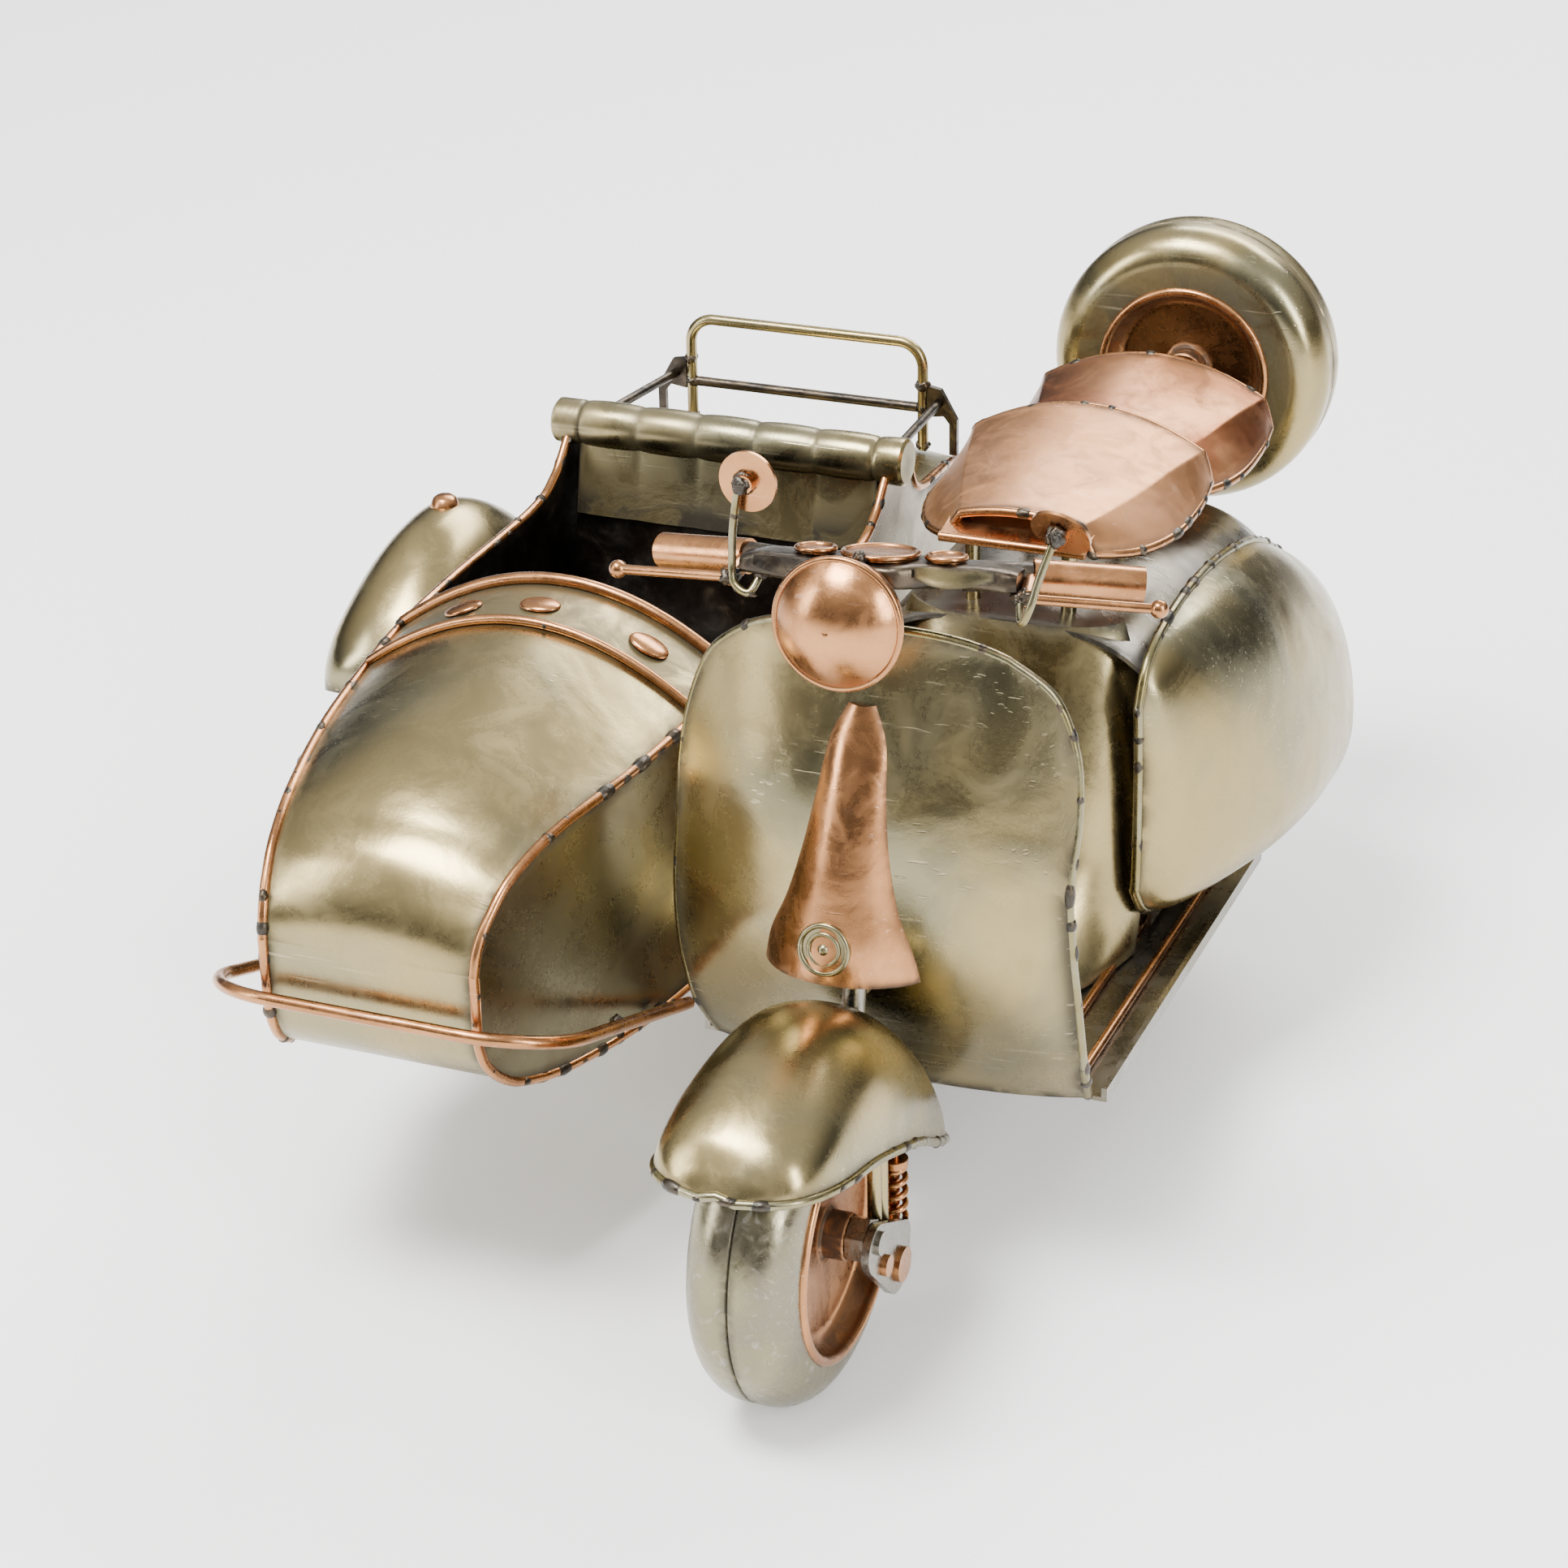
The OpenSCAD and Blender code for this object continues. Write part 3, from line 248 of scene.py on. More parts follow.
def fender_grid(rows, count=96, cols=56):
    q = along(rows, np.linspace(0, 1, count + 1))[:, :, None]
    a = np.linspace(math.pi, 0, cols + 1)[None, :]
    c, s = np.cos(a), np.maximum(np.sin(a), 0)
    return stack(q[:, 1] * np.sign(c) * np.abs(c) ** 0.9, q[:, 0], q[:, 2] + (q[:, 3] - q[:, 2]) * s**0.9)


def hull_lines(ys, top, cols=40):
    """Cross lines of the sidecar's top sheet or of its nose and floor sheet."""
    q = station(HULL_ROWS, ys)[:, :, None]
    s = np.linspace(1, -1, cols + 1)[None, :]
    half = (q[:, 3] - INSET) * s
    if not top:
        return stack(half, q[:, 0], q[:, 1])
    steep = np.clip((8 - q[:, 0]) / 12, 0, 1)
    size = np.hypot(steep, 1 - 0.6 * steep)
    k = q[:, 4] * (1 - s * s)
    return stack(half, q[:, 0] - k * steep / size, q[:, 2] + k * (1 - 0.6 * steep) / size)


def nose_spread(low, high, count):
    """Distances packed closer at the low end, where the nose turns."""
    return low + (high - low) * np.linspace(0, 1, count) ** 2.2


# ---------- meshes ----------

def finished(mesh):
    """Outward normals, smooth shading with crisp folds."""
    bm = bmesh.new()
    bm.from_mesh(mesh)
    if bm.calc_volume(signed=True) < 0:
        bmesh.ops.reverse_faces(bm, faces=bm.faces)
    bm.to_mesh(mesh)
    bm.free()
    mesh.polygons.foreach_set("use_smooth", [True] * len(mesh.polygons))
    mesh.set_sharp_from_angle(angle=CREASE)
    mesh.update()
    return mesh


def one_finish(mesh, index):
    """Gives every face of a mesh the material of one index."""
    mesh.polygons.foreach_set("material_index", [index] * len(mesh.polygons))
    return mesh


def mesh_from(name, points, faces, rim=None):
    mesh = bpy.data.meshes.new(name)
    mesh.from_pydata(((np.asarray(points) + SHIFT) / 1000).tolist(), [], faces)
    if rim is not None:
        mesh.attributes.new("rim", "FLOAT", "POINT").data.foreach_set("value", np.asarray(rim, np.float32))
    return mesh


def grid_faces(rows, cols, base=0, close_rows=False, close_cols=False):
    """Quads between neighbouring points of a grid of rows by cols points."""
    last_r = rows if close_rows else rows - 1
    last_c = cols if close_cols else cols - 1
    i, j = np.meshgrid(np.arange(last_r), np.arange(last_c), indexing="ij")
    i2, j2 = (i + 1) % rows, (j + 1) % cols
    quads = np.stack([i * cols + j, i * cols + j2, i2 * cols + j2, i2 * cols + j], axis=-1)
    return (quads.reshape(-1, 4) + base).tolist()


def border_share(grid, reach, edges):
    """1 at the chosen borders of a grid, falling to 0 within reach: where solder and flux have spread in."""
    def walked(grid):
        steps = np.linalg.norm(np.diff(grid, axis=0), axis=2)
        return np.concatenate([np.zeros((1, grid.shape[1])), np.cumsum(steps, axis=0)])

    rows, cols = walked(grid), walked(grid.transpose(1, 0, 2)).T
    far = {"first": rows, "last": rows[-1:] - rows, "left": cols, "right": cols[:, -1:] - cols}
    near = np.min([far[e] for e in edges], axis=0)
    return np.exp(-(near / reach) ** 2)


def sheet_mesh(name, grid, thickness, reach=1.5, edges=("first", "last", "left", "right"), extra=None):
    """Closed sheet whose outer face is the grid; the metal lies on the row x column side. Its inner
    face takes the second material, and "rim" says where its borders are stained, together with any extra
    darkening given, such as painted shade."""
    r, c = grid.shape[:2]
    normal = np.cross(np.gradient(grid, axis=0), np.gradient(grid, axis=1))
    normal /= np.maximum(np.linalg.norm(normal, axis=2), 1e-9)[..., None]
    n = r * c
    faces = grid_faces(r, c)
    faces += [f[::-1] for f in grid_faces(r, c, n)]
    at = np.arange(n).reshape(r, c)
    ring = np.concatenate([at[0], at[1:, -1], at[-1, -2::-1], at[-2:0:-1, 0]]).tolist()
    faces += [[b, a, n + a, n + b] for a, b in zip(ring, ring[1:] + ring[:1])]
    rim = border_share(grid, reach, edges)
    if extra is not None:
        rim = np.maximum(rim, extra)
    points = np.concatenate([grid.reshape(-1, 3), (grid + thickness * normal).reshape(-1, 3)])
    mesh = mesh_from(name, points, faces, np.tile(rim.ravel(), 2))
    quads = (r - 1) * (c - 1)
    side = np.zeros(len(faces), np.int32)
    side[quads:2 * quads] = 1
    mesh.polygons.foreach_set("material_index", side)
    return finished(mesh)


def lathe_mesh(name, profile, place, steps=144, rim=None):
    """Closed [distance along x, radius] profile turned round the x axis, then placed."""
    profile = np.asarray(profile, float)
    a = np.linspace(0, 2 * math.pi, steps, endpoint=False)[:, None]
    grid = stack(profile[None, :, 0], profile[None, :, 1] * np.cos(a), profile[None, :, 1] * np.sin(a))
    faces = grid_faces(steps, len(profile), close_rows=True, close_cols=True)
    share = None if rim is None else np.tile(np.asarray(rim, float), steps)
    return finished(mesh_from(name, place(grid.reshape(-1, 3)), faces, share))


def plate_mesh(name, outline, x0, x1):
    """Flat plate between x0 and x1 with a [y, z] outline."""
    n = len(outline)
    points = [[x, p[0], p[1]] for x in (x0, x1) for p in outline]
    faces = [list(range(n)), list(range(2 * n - 1, n - 1, -1))]
    faces += [[(i + 1) % n, i, n + i, n + (i + 1) % n] for i in range(n)]
    mesh = mesh_from(name, points, faces)
    bm = bmesh.new()
    bm.from_mesh(mesh)
    bmesh.ops.recalc_face_normals(bm, faces=bm.faces)
    bm.to_mesh(mesh)
    bm.free()
    return finished(mesh)


def joined(name, meshes):
    """One mesh out of several that share their material list."""
    bm = bmesh.new()
    for m in meshes:
        bm.from_mesh(m)
    out = bpy.data.meshes.new(name)
    bm.to_mesh(out)
    bm.free()
    for m in meshes:
        bpy.data.meshes.remove(m)
    out.set_sharp_from_angle(angle=CREASE)
    return out


def piece(name, mesh, body, metals, nodes):
    """Puts a mesh in the scene on a CAD body, in place of the CAD nodes that it stands for. A mesh with
    no metals named keeps its own materials."""
    mesh.name = name
    obj = bpy.data.objects.new(name, mesh)
    bpy.context.scene.collection.objects.link(obj)
    if metals:
        sides = np.zeros(len(mesh.polygons), np.int32)
        mesh.polygons.foreach_get("material_index", sides)
        mesh.materials.clear()
        for metal in metals:
            mesh.materials.append(finish(metal))
        mesh.polygons.foreach_set("material_index", np.minimum(sides, len(metals) - 1))
    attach(obj, body)
    if nodes:
        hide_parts(*nodes)


def skin(node, mesh, *metals, body="chassis", slot=None):
    """Puts in the finer sheet that stands for one CAD node."""
    piece(node + "_skin", mesh, body, metals, [node])


def cut(mesh, low, high, radius):
    """Bores a round hole through a mesh between two points in the layout."""
    a, b = [Vector(((np.asarray(p) + SHIFT) / 1000).tolist()) for p in (low, high)]
    tool_mesh = bpy.data.meshes.new("bore")
    bm = bmesh.new()
    turn = (b - a).to_track_quat("Z", "Y").to_matrix().to_4x4()
    bmesh.ops.create_cone(bm, cap_ends=True, segments=48, radius1=radius / 1000, radius2=radius / 1000,
                          depth=(b - a).length, matrix=Matrix.Translation((a + b) / 2) @ turn)
    bm.to_mesh(tool_mesh)
    bm.free()
    base, tool = bpy.data.objects.new("base", mesh), bpy.data.objects.new("tool", tool_mesh)
    for o in (base, tool):
        bpy.context.scene.collection.objects.link(o)
    mod = base.modifiers.new("bore", "BOOLEAN")
    mod.operation, mod.solver, mod.object = "DIFFERENCE", "EXACT", tool
    bpy.context.view_layer.update()
    out = bpy.data.meshes.new_from_object(base.evaluated_get(bpy.context.evaluated_depsgraph_get()))
    for o in (base, tool):
        bpy.data.objects.remove(o)
    out.set_sharp_from_angle(angle=CREASE)
    return out


# ---------- Geometry Nodes: wires and lumps of solder ----------

class Tree:
    """Short way to add nodes and join their sockets in one node tree."""

    def __init__(self, tree):
        self.tree = tree

    def add(self, kind, inputs=None, **settings):
        node = self.tree.nodes.new(kind)
        for key, value in settings.items():
            setattr(node, key, value)
        for key, value in (inputs or {}).items():
            self.set(node.inputs[key], value)
        return node

    def set(self, socket, value):
        if isinstance(value, bpy.types.NodeSocket):
            self.tree.links.new(value, socket)
        else:
            socket.default_value = value

    def math(self, operation, a, b, clamp=False):
        return self.add("ShaderNodeMath", {0: a, 1: b}, operation=operation, use_clamp=clamp).outputs[0]

    def times(self, a, b):
        return self.math("MULTIPLY", a, b)

    def random(self, low, high, seed):
        return self.add("FunctionNodeRandomValue", {0: low, 1: high, "Seed": seed},
                        data_type="FLOAT_VECTOR").outputs[0]

    def blend(self, share, a, b):
        return self.add("ShaderNodeMix", {0: share, 6: a, 7: b}, data_type="RGBA").outputs[2]

    def scaled(self, vector, factor):
        return self.add("ShaderNodeVectorMath", {0: vector, "Scale": factor}, operation="SCALE").outputs[0]

    def shape(self, kind, geometry, **inputs):
        """Adds a Geometry Nodes step that takes one geometry and gives it on."""
        return self.add("GeometryNode" + kind, {"Geometry": geometry, **inputs}).outputs[0]

    def end(self, outputs):
        self.add("NodeGroupOutput", outputs)
        return self.tree


def new_group(name, kind, inputs, outputs):
    """Tree of a new node group with these sockets, and the outputs of its input node."""
    group = bpy.data.node_groups.new(name, kind)
    for label, socket, value in inputs:
        made = group.interface.new_socket(label, in_out="INPUT", socket_type="NodeSocket" + socket)
        if value is not None:
            made.default_value = value
    for label, socket in outputs:
        group.interface.new_socket(label, in_out="OUTPUT", socket_type="NodeSocket" + socket)
    t = Tree(group)
    return t, t.add("NodeGroupInput").outputs


def wire_tree(name):
    """Round wire along a path, with lumps of solder scattered on it."""
    t, given = new_group(name, "GeometryNodeTree", (
        ("Path", "Geometry", None), ("Wire radius", "Float", 0.0009), ("Sides", "Int", 16),
        ("Bead spacing", "Float", 0.005), ("Bead radius", "Float", 0.0011), ("Bead share", "Float", 0.6),
        ("Seed", "Int", 1), ("Wire finish", "Material", None), ("Solder finish", "Material", None)),
        (("Geometry", "Geometry"),))
    line = t.add("GeometryNodeMeshToCurve", {"Mesh": given["Path"]}).outputs[0]
    ring = t.add("GeometryNodeCurvePrimitiveCircle",
                 {"Resolution": given["Sides"], "Radius": given["Wire radius"]}).outputs[0]
    rod = t.add("GeometryNodeCurveToMesh",
                {"Curve": line, "Profile Curve": ring, "Fill Caps": True}).outputs[0]
    rod = t.shape("SetMaterial", t.shape("SetShadeSmooth", rod), Material=given["Wire finish"])
    spots = t.add("GeometryNodeCurveToPoints",
                  {"Curve": line, "Length": given["Bead spacing"]}, mode="LENGTH")
    keep = t.add("FunctionNodeRandomValue", {"Probability": given["Bead share"], "Seed": given["Seed"]},
                 data_type="BOOLEAN").outputs[3]
    grow = t.random((0.55, 0.55, 0.9), (1.05, 1.05, 2.6), given["Seed"])
    ball = t.add("GeometryNodeMeshIcoSphere", {"Radius": 1.0, "Subdivisions": 2}).outputs[0]
    beads = t.add("GeometryNodeInstanceOnPoints", {
        "Points": spots.outputs["Points"], "Selection": keep, "Instance": t.shape("SetShadeSmooth", ball),
        "Rotation": spots.outputs["Rotation"], "Scale": t.scaled(grow, given["Bead radius"])}).outputs[0]
    beads = t.shape("SetMaterial", t.shape("RealizeInstances", beads), Material=given["Solder finish"])
    both = t.add("GeometryNodeJoinGeometry")
    for part in (beads, rod):
        t.tree.links.new(part, both.inputs[0])
    return t.end({0: both.outputs[0]})


def lump_tree(name):
    """Uneven lumps of solder on given points."""
    t, given = new_group(name, "GeometryNodeTree", (
        ("Points", "Geometry", None), ("Lump radius", "Float", 0.0012), ("Roughness", "Float", 0.5),
        ("Seed", "Int", 1), ("Solder finish", "Material", None)), (("Geometry", "Geometry"),))
    ball = t.add("GeometryNodeMeshIcoSphere", {"Radius": 1.0, "Subdivisions": 4}).outputs[0]
    grow = t.random((0.8, 0.8, 0.8), (1.25, 1.25, 1.25), given["Seed"])
    lumps = t.add("GeometryNodeInstanceOnPoints", {
        "Points": given["Points"], "Instance": ball,
        "Scale": t.scaled(grow, given["Lump radius"])}).outputs[0]
    rough = t.add("ShaderNodeTexNoise", {"Scale": 900.0, "Detail": 2.0}).outputs["Fac"]
    push = t.times(t.math("SUBTRACT", rough, 0.5), t.times(given["Lump radius"], given["Roughness"]))
    normal = t.add("GeometryNodeInputNormal").outputs[0]
    lumps = t.shape("SetPosition", t.shape("RealizeInstances", lumps), Offset=t.scaled(normal, push))
    lumps = t.shape("SetMaterial", t.shape("SetShadeSmooth", lumps), Material=given["Solder finish"])
    return t.end({0: lumps})


def from_tree(name, points, edges, maker, label, values):
    """Plain mesh that a Geometry Nodes tree makes from points and edges in the layout."""
    tree = bpy.data.node_groups.get(label) or maker(label)
    given = bpy.data.meshes.new(name + "_path")
    given.from_pydata(((np.asarray(points, float) + SHIFT) / 1000).tolist(), edges, [])
    carrier = bpy.data.objects.new(name + "_path", given)
    bpy.context.scene.collection.objects.link(carrier)
    mod = carrier.modifiers.new("tree", "NODES")
    mod.node_group = tree
    values = {**values, "Solder finish": finish("solder")}
    for item in tree.interface.items_tree:
        if item.item_type == "SOCKET" and item.in_out == "INPUT" and item.name in values:
            mod[item.identifier] = values[item.name]
    bpy.context.view_layer.update()
    out = bpy.data.meshes.new_from_object(carrier.evaluated_get(bpy.context.evaluated_depsgraph_get()))
    bpy.data.objects.remove(carrier)
    bpy.data.meshes.remove(given)
    return out


def wires(name, paths, radius, metal, nodes, body="chassis", closed=False, bead=None, spacing=None,
          share=0.75, seed=1, sides=16):
    """Wires along paths in the layout, with the panel's solder unless bead and spacing say otherwise."""
    _, _, gap, swell = sizes()
    points, edges = [], []
    for path in paths:
        start = len(points)
        points += list(path)
        edges += [(i, i + 1) for i in range(start, len(points) - 1)]
        if closed:
            edges.append((len(points) - 1, start))
    values = {"Wire radius": radius / 1000, "Sides": sides, "Bead spacing": (spacing or gap) / 1000,
              "Bead radius": radius * (bead or swell) / 1000, "Bead share": share, "Seed": seed,
              "Wire finish": finish(metal)}
    piece(name, from_tree(name, points, edges, wire_tree, "Soldered wire", values), body, [], nodes)


def solder(name, points, radius, body, seed):
    """Solder lumps on points in the layout, as one plain mesh."""
    values = {"Lump radius": radius / 1000, "Roughness": 1.2, "Seed": seed}
    piece(name, from_tree(name, points, [], lump_tree, "Solder lumps", values), body, [], [])


# ---------- finishes ----------

def wear_group():
    """Shader group for all metals: cloudy tone, stains, dark solder runs by the rims, scratches and grain.
    The rim darkening also paints shade where a mesh writes shade into "rim".
    """
    name = "Handled metal"
    if name in bpy.data.node_groups:
        return bpy.data.node_groups[name]
    t, given = new_group(name, "ShaderNodeTree", (
        ("Metal", "Color", (0.5, 0.45, 0.3, 1)), ("Tone", "Color", (0.4, 0.4, 0.3, 1)),
        ("Stain", "Color", (0.08, 0.07, 0.05, 1)), ("Stain amount", "Float", 0.3),
        # Flux: dark colour blended in where "rim" is high, for solder flux at borders and for painted shade
        ("Flux and shade", "Color", (0.02, 0.016, 0.011, 1)), ("Cloud scale", "Float", 60.0),
        ("Gloss low", "Float", 0.25), ("Gloss high", "Float", 0.5), ("Rim stain and shade", "Float", 0.8),
        ("Scratches", "Float", 0.4)),
        (("Colour", "Color"), ("Roughness", "Float"), ("Metallic", "Float"), ("Height", "Float")))
    place = t.add("ShaderNodeTexCoord").outputs["Object"]

    def noise(scale, detail, rough, warp=0.0, vector=place):
        return t.add("ShaderNodeTexNoise", {"Vector": vector, "Scale": scale, "Detail": detail,
                                            "Roughness": rough, "Distortion": warp}).outputs["Fac"]

    def ramp(value, low, high, to_low=0.0, to_high=1.0):
        return t.add("ShaderNodeMapRange", {"Value": value, "From Min": low, "From Max": high,
                                            "To Min": to_low, "To Max": to_high},
                     interpolation_type="SMOOTHSTEP").outputs[0]

    cloud = noise(given["Cloud scale"], 3.0, 0.5, 0.6)
    patch = noise(t.math("MULTIPLY", given["Cloud scale"], 3.1), 6.0, 0.62, 0.9)
    fleck = noise(1500.0, 3.0, 0.6)
    grain = noise(5200.0, 2.0, 0.5)
    colour = t.blend(ramp(cloud, 0.36, 0.66), given["Metal"], given["Tone"])
    stained = t.times(ramp(patch, 0.56, 0.80), given["Stain amount"])
    speck = t.times(ramp(fleck, 0.70, 0.76), t.times(given["Stain amount"], 0.9))
    # "rim" holds solder and flux at sheet borders and joints, plus painted shade: the spare tyre's face, the
    # roll's pleat valleys and the apron's lower part
    rim = t.add("ShaderNodeAttribute", attribute_name="rim").outputs["Fac"]
    flux_and_shade = t.times(t.times(rim, ramp(patch, 0.36, 0.58, 0.35, 1.0)), given["Rim stain and shade"])
    spots = t.math("MAXIMUM", stained, speck, clamp=True)
    colour = t.blend(flux_and_shade, t.blend(spots, colour, given["Stain"]), given["Flux and shade"])
    mask = t.math("MAXIMUM", spots, flux_and_shade, clamp=True)
    marks = None
    for turn, squash, seed in ((0.5, 0.035, 0.0), (-0.9, 0.03, 3.7), (1.7, 0.04, 8.1)):
        lay = t.add("ShaderNodeMapping", {"Vector": place, "Location": (seed, seed * 0.7, seed * 1.3),
                                          "Rotation": (turn, turn * 0.6, turn * 1.4),
                                          "Scale": (squash, 1.0, 1.0)}).outputs[0]
        line = ramp(noise(1100.0, 1.0, 0.4, 0.0, lay), 0.70, 0.76)
        marks = line if marks is None else t.math("MAXIMUM", marks, line)
    marks = t.times(t.times(marks, given["Scratches"]), ramp(cloud, 0.42, 0.6))
    bare = t.add("ShaderNodeHueSaturation",
                 {"Saturation": 0.7, "Value": 1.5, "Color": given["Metal"]}).outputs[0]
    wobble = ramp(t.math("ADD", t.times(patch, 0.8), t.times(fleck, 0.2)), 0.36, 0.68)
    gloss = t.add("ShaderNodeMix", {0: wobble, 2: given["Gloss low"], 3: given["Gloss high"]}).outputs[0]
    height = t.times(cloud, 1.1)
    for operation, layer, share in (("ADD", patch, 0.12), ("ADD", fleck, 0.018), ("ADD", grain, 0.009),
                                    ("SUBTRACT", marks, 0.10), ("ADD", flux_and_shade, 0.22)):
        height = t.math(operation, height, t.times(layer, share))
    return t.end({
        "Colour": t.blend(marks, colour, bare), "Height": height,
        "Roughness": t.math("ADD", gloss, t.times(mask, 0.28), clamp=True),
        "Metallic": t.math("SUBTRACT", 1.0, t.times(mask, 0.45), clamp=True)})


# name: metal, tone, stain, stain amount, cloud scale, gloss low, gloss high, rim stain and painted shade,
# scratches, bump
FINISHES = {
    "aged_brass": ("brass", "brass_tone", (0.05, 0.04, 0.022), 0.10, 27, 0.22, 0.34, 0.95, 0.45, 0.0004),
    # painted reflection: the sidecar's sides take a darker, browner copy of the brass, standing in for the
    # dark surroundings they reflect
    "shaded_side_brass": ("shaded_brass", "brass_tone", (0.04, 0.03, 0.02), 0.16, 24, 0.24, 0.38, 0.95, 0.3, 0.0004),
    "wire_brass": ("wire_brass", "brass_tone", (0.04, 0.03, 0.02), 0.35, 90, 0.24, 0.38, 0.8, 0.2, 0.0003),
    "tyre_brass": ("brass_tone", "nickel_tone", (0.60, 0.59, 0.56), 0.55, 105, 0.24, 0.38, 0.8, 0.4, 0.0003),
    "copper_plate": ("copper", "copper_tone", (0.09, 0.05, 0.03), 0.14, 60, 0.22, 0.36, 0.9, 0.3, 0.0003),
    "seat_copper": ("seat", "copper", (0.24, 0.22, 0.15), 0.30, 50, 0.36, 0.50, 0.9, 0.25, 0.0003),
    "dark_seat": ("dark_seat", "copper_tone", (0.08, 0.04, 0.025), 0.22, 45, 0.28, 0.42, 0.9, 0.25, 0.0003),
    "nickel_sheet": ("nickel", "nickel_tone", (0.07, 0.06, 0.05), 0.14, 35, 0.24, 0.38, 0.95, 0.5, 0.0004),
    "dark_metal": ("dark", "dark_tone", (0.16, 0.13, 0.08), 0.40, 150, 0.28, 0.48, 0.6, 0.4, 0.0004),
    # painted shade: the inside of the cockpit takes a near-black finish for the shade in the recess
    "cockpit": ("cockpit_shade", "dark", (0.09, 0.06, 0.03), 0.30, 60, 0.34, 0.55, 0.4, 0.2, 0.0004),
    "plain_steel": ("steel", "nickel", (0.09, 0.07, 0.05), 0.30, 150, 0.22, 0.38, 0.6, 0.5, 0.0002),
    "solder": ("solder", "dark_tone", (0.03, 0.027, 0.022), 0.60, 300, 0.30, 0.52, 0.3, 0.1, 0.0004),
}


def finish(name):
    """The material of one finish, made on first use from the panel's colours."""
    label = "worn_" + name
    if label in bpy.data.materials:
        return bpy.data.materials[label]
    metal, tone, stain, amount, cloud, low, high, rim, scratches, bump = FINISHES[name]
    colours = bpy.context.scene.scooter_colours
    mat = bpy.data.materials.new(label)
    mat.use_nodes = True
    mat.node_tree.nodes.clear()
    t = Tree(mat.node_tree)
    worn = t.add("ShaderNodeGroup", node_tree=wear_group())
    for key, value in {
            "Metal": (*getattr(colours, metal), 1), "Tone": (*getattr(colours, tone), 1),
            "Stain": (*stain, 1), "Stain amount": amount, "Cloud scale": cloud, "Gloss low": low,
            "Gloss high": high, "Rim stain and shade": rim, "Scratches": scratches}.items():
        worn.inputs[key].default_value = value
    dents = t.add("ShaderNodeBump", {"Height": worn.outputs["Height"], "Strength": 1.0, "Distance": bump})
    shader = t.add("ShaderNodeBsdfPrincipled", {
        "Base Color": worn.outputs["Colour"], "Roughness": worn.outputs["Roughness"],
        "Metallic": worn.outputs["Metallic"], "Normal": dents.outputs[0]})
    t.add("ShaderNodeOutputMaterial", {"Surface": shader.outputs[0]})
    return mat


# ---------- properties ----------

def length(name, description, default, low, high):
    return bpy.props.FloatProperty(name=name, description=description, default=default, min=low, max=high,
                                   unit="LENGTH", precision=5)


def colour(name, description, default):
    return bpy.props.FloatVectorProperty(name=name, description=description, default=default, size=3,
                                         min=0, max=1, subtype="COLOR")


class ScooterSizes(bpy.types.PropertyGroup):
    """Sizes that the makers below share"""
    sheet: length("Sheet", "Thickness of the sheet metal", 0.0008, 0.0005, 0.0012)
    wire: length("Edge wire", "Radius of the wire soldered round the panels", 0.0009, 0.0006, 0.0011)
    bead_spacing: length("Solder spacing", "Distance between lumps of solder on a wire", 0.0052, 0.002, 0.02)
    bead_swell: bpy.props.FloatProperty(
        name="Solder swell", description="Size of a lump of solder against its wire",
        default=1.35, min=1, max=2)


class ScooterColours(bpy.types.PropertyGroup):
    """Colours of the metals"""
    brass: colour("Brass", "Aged brass sheet", (0.335, 0.262, 0.122))
    brass_tone: colour("Brass tone", "Greyer tone that clouds the brass", (0.235, 0.212, 0.128))
    wire_brass: colour("Wire brass", "Olive brass of the edge wires", (0.20, 0.165, 0.070))
    # painted reflection: darker, browner copy of the brass for the sidecar's sides
    shaded_brass: colour("Shaded brass", "Darker brass of the sidecar's sides", (0.14, 0.096, 0.05))
    copper: colour("Copper", "Orange copper plating", (0.50, 0.235, 0.10))
    copper_tone: colour("Copper tone", "Browner tone that clouds the copper", (0.34, 0.155, 0.065))
    seat: colour("Seat copper", "Paler pink copper of the front seat", (0.44, 0.215, 0.105))
    dark_seat: colour("Red copper", "Red-brown tarnish of the rear seat", (0.22, 0.075, 0.028))
    nickel: colour("Nickel", "Warm grey plating", (0.25, 0.235, 0.21))
    nickel_tone: colour("Nickel tone", "Browner tone that clouds the nickel", (0.20, 0.175, 0.125))
    dark: colour("Dark metal", "Blackened metal", (0.040, 0.035, 0.030))
    dark_tone: colour("Dark tone", "Brown tone on the blackened metal", (0.09, 0.07, 0.05))
    # painted shade: near-black colour of the cockpit's inside
    cockpit_shade: colour("Cockpit shade", "Black inside of the cockpit", (0.016, 0.011, 0.008))
    steel: colour("Steel", "Plated hardware", (0.25, 0.23, 0.19))
    solder: colour("Solder", "Tarnished solder", (0.05, 0.046, 0.04))


# ---------- the makers ----------

def sizes():
    s = bpy.context.scene.scooter_sizes
    return s.sheet * 1000, s.wire * 1000, s.bead_spacing * 1000, s.bead_swell


class SCOOTER_OT_shield(bpy.types.Operator):
    """Leg shield with its edge wire, and the horn cover"""
    bl_idname = "scooter.make_shield"
    bl_label = "Leg shield"

    def execute(self, context):
        t, w, *_ = sizes()
        grid = shield_grid()
        mesh = cut(sheet_mesh("leg_shield", grid, t, 2.2), in_neck([0, 0, -5]), in_neck([0, 0, 25]), 2.8)
        skin("leg_shield", mesh, "aged_brass")
        edge = np.concatenate([grid[::-1, 0], grid[0, 1:-1], grid[:, -1]])
        wires("leg_shield_wire", [edge], w, "wire_brass", ["leg_shield_trim"], seed=3)
        cover = sheet_mesh("horn_cover", cover_grid(), 0.6, 1.0, ("left", "right", "last"))
        skin("horn_cover", cover, "copper_plate")
        return {"FINISHED"}


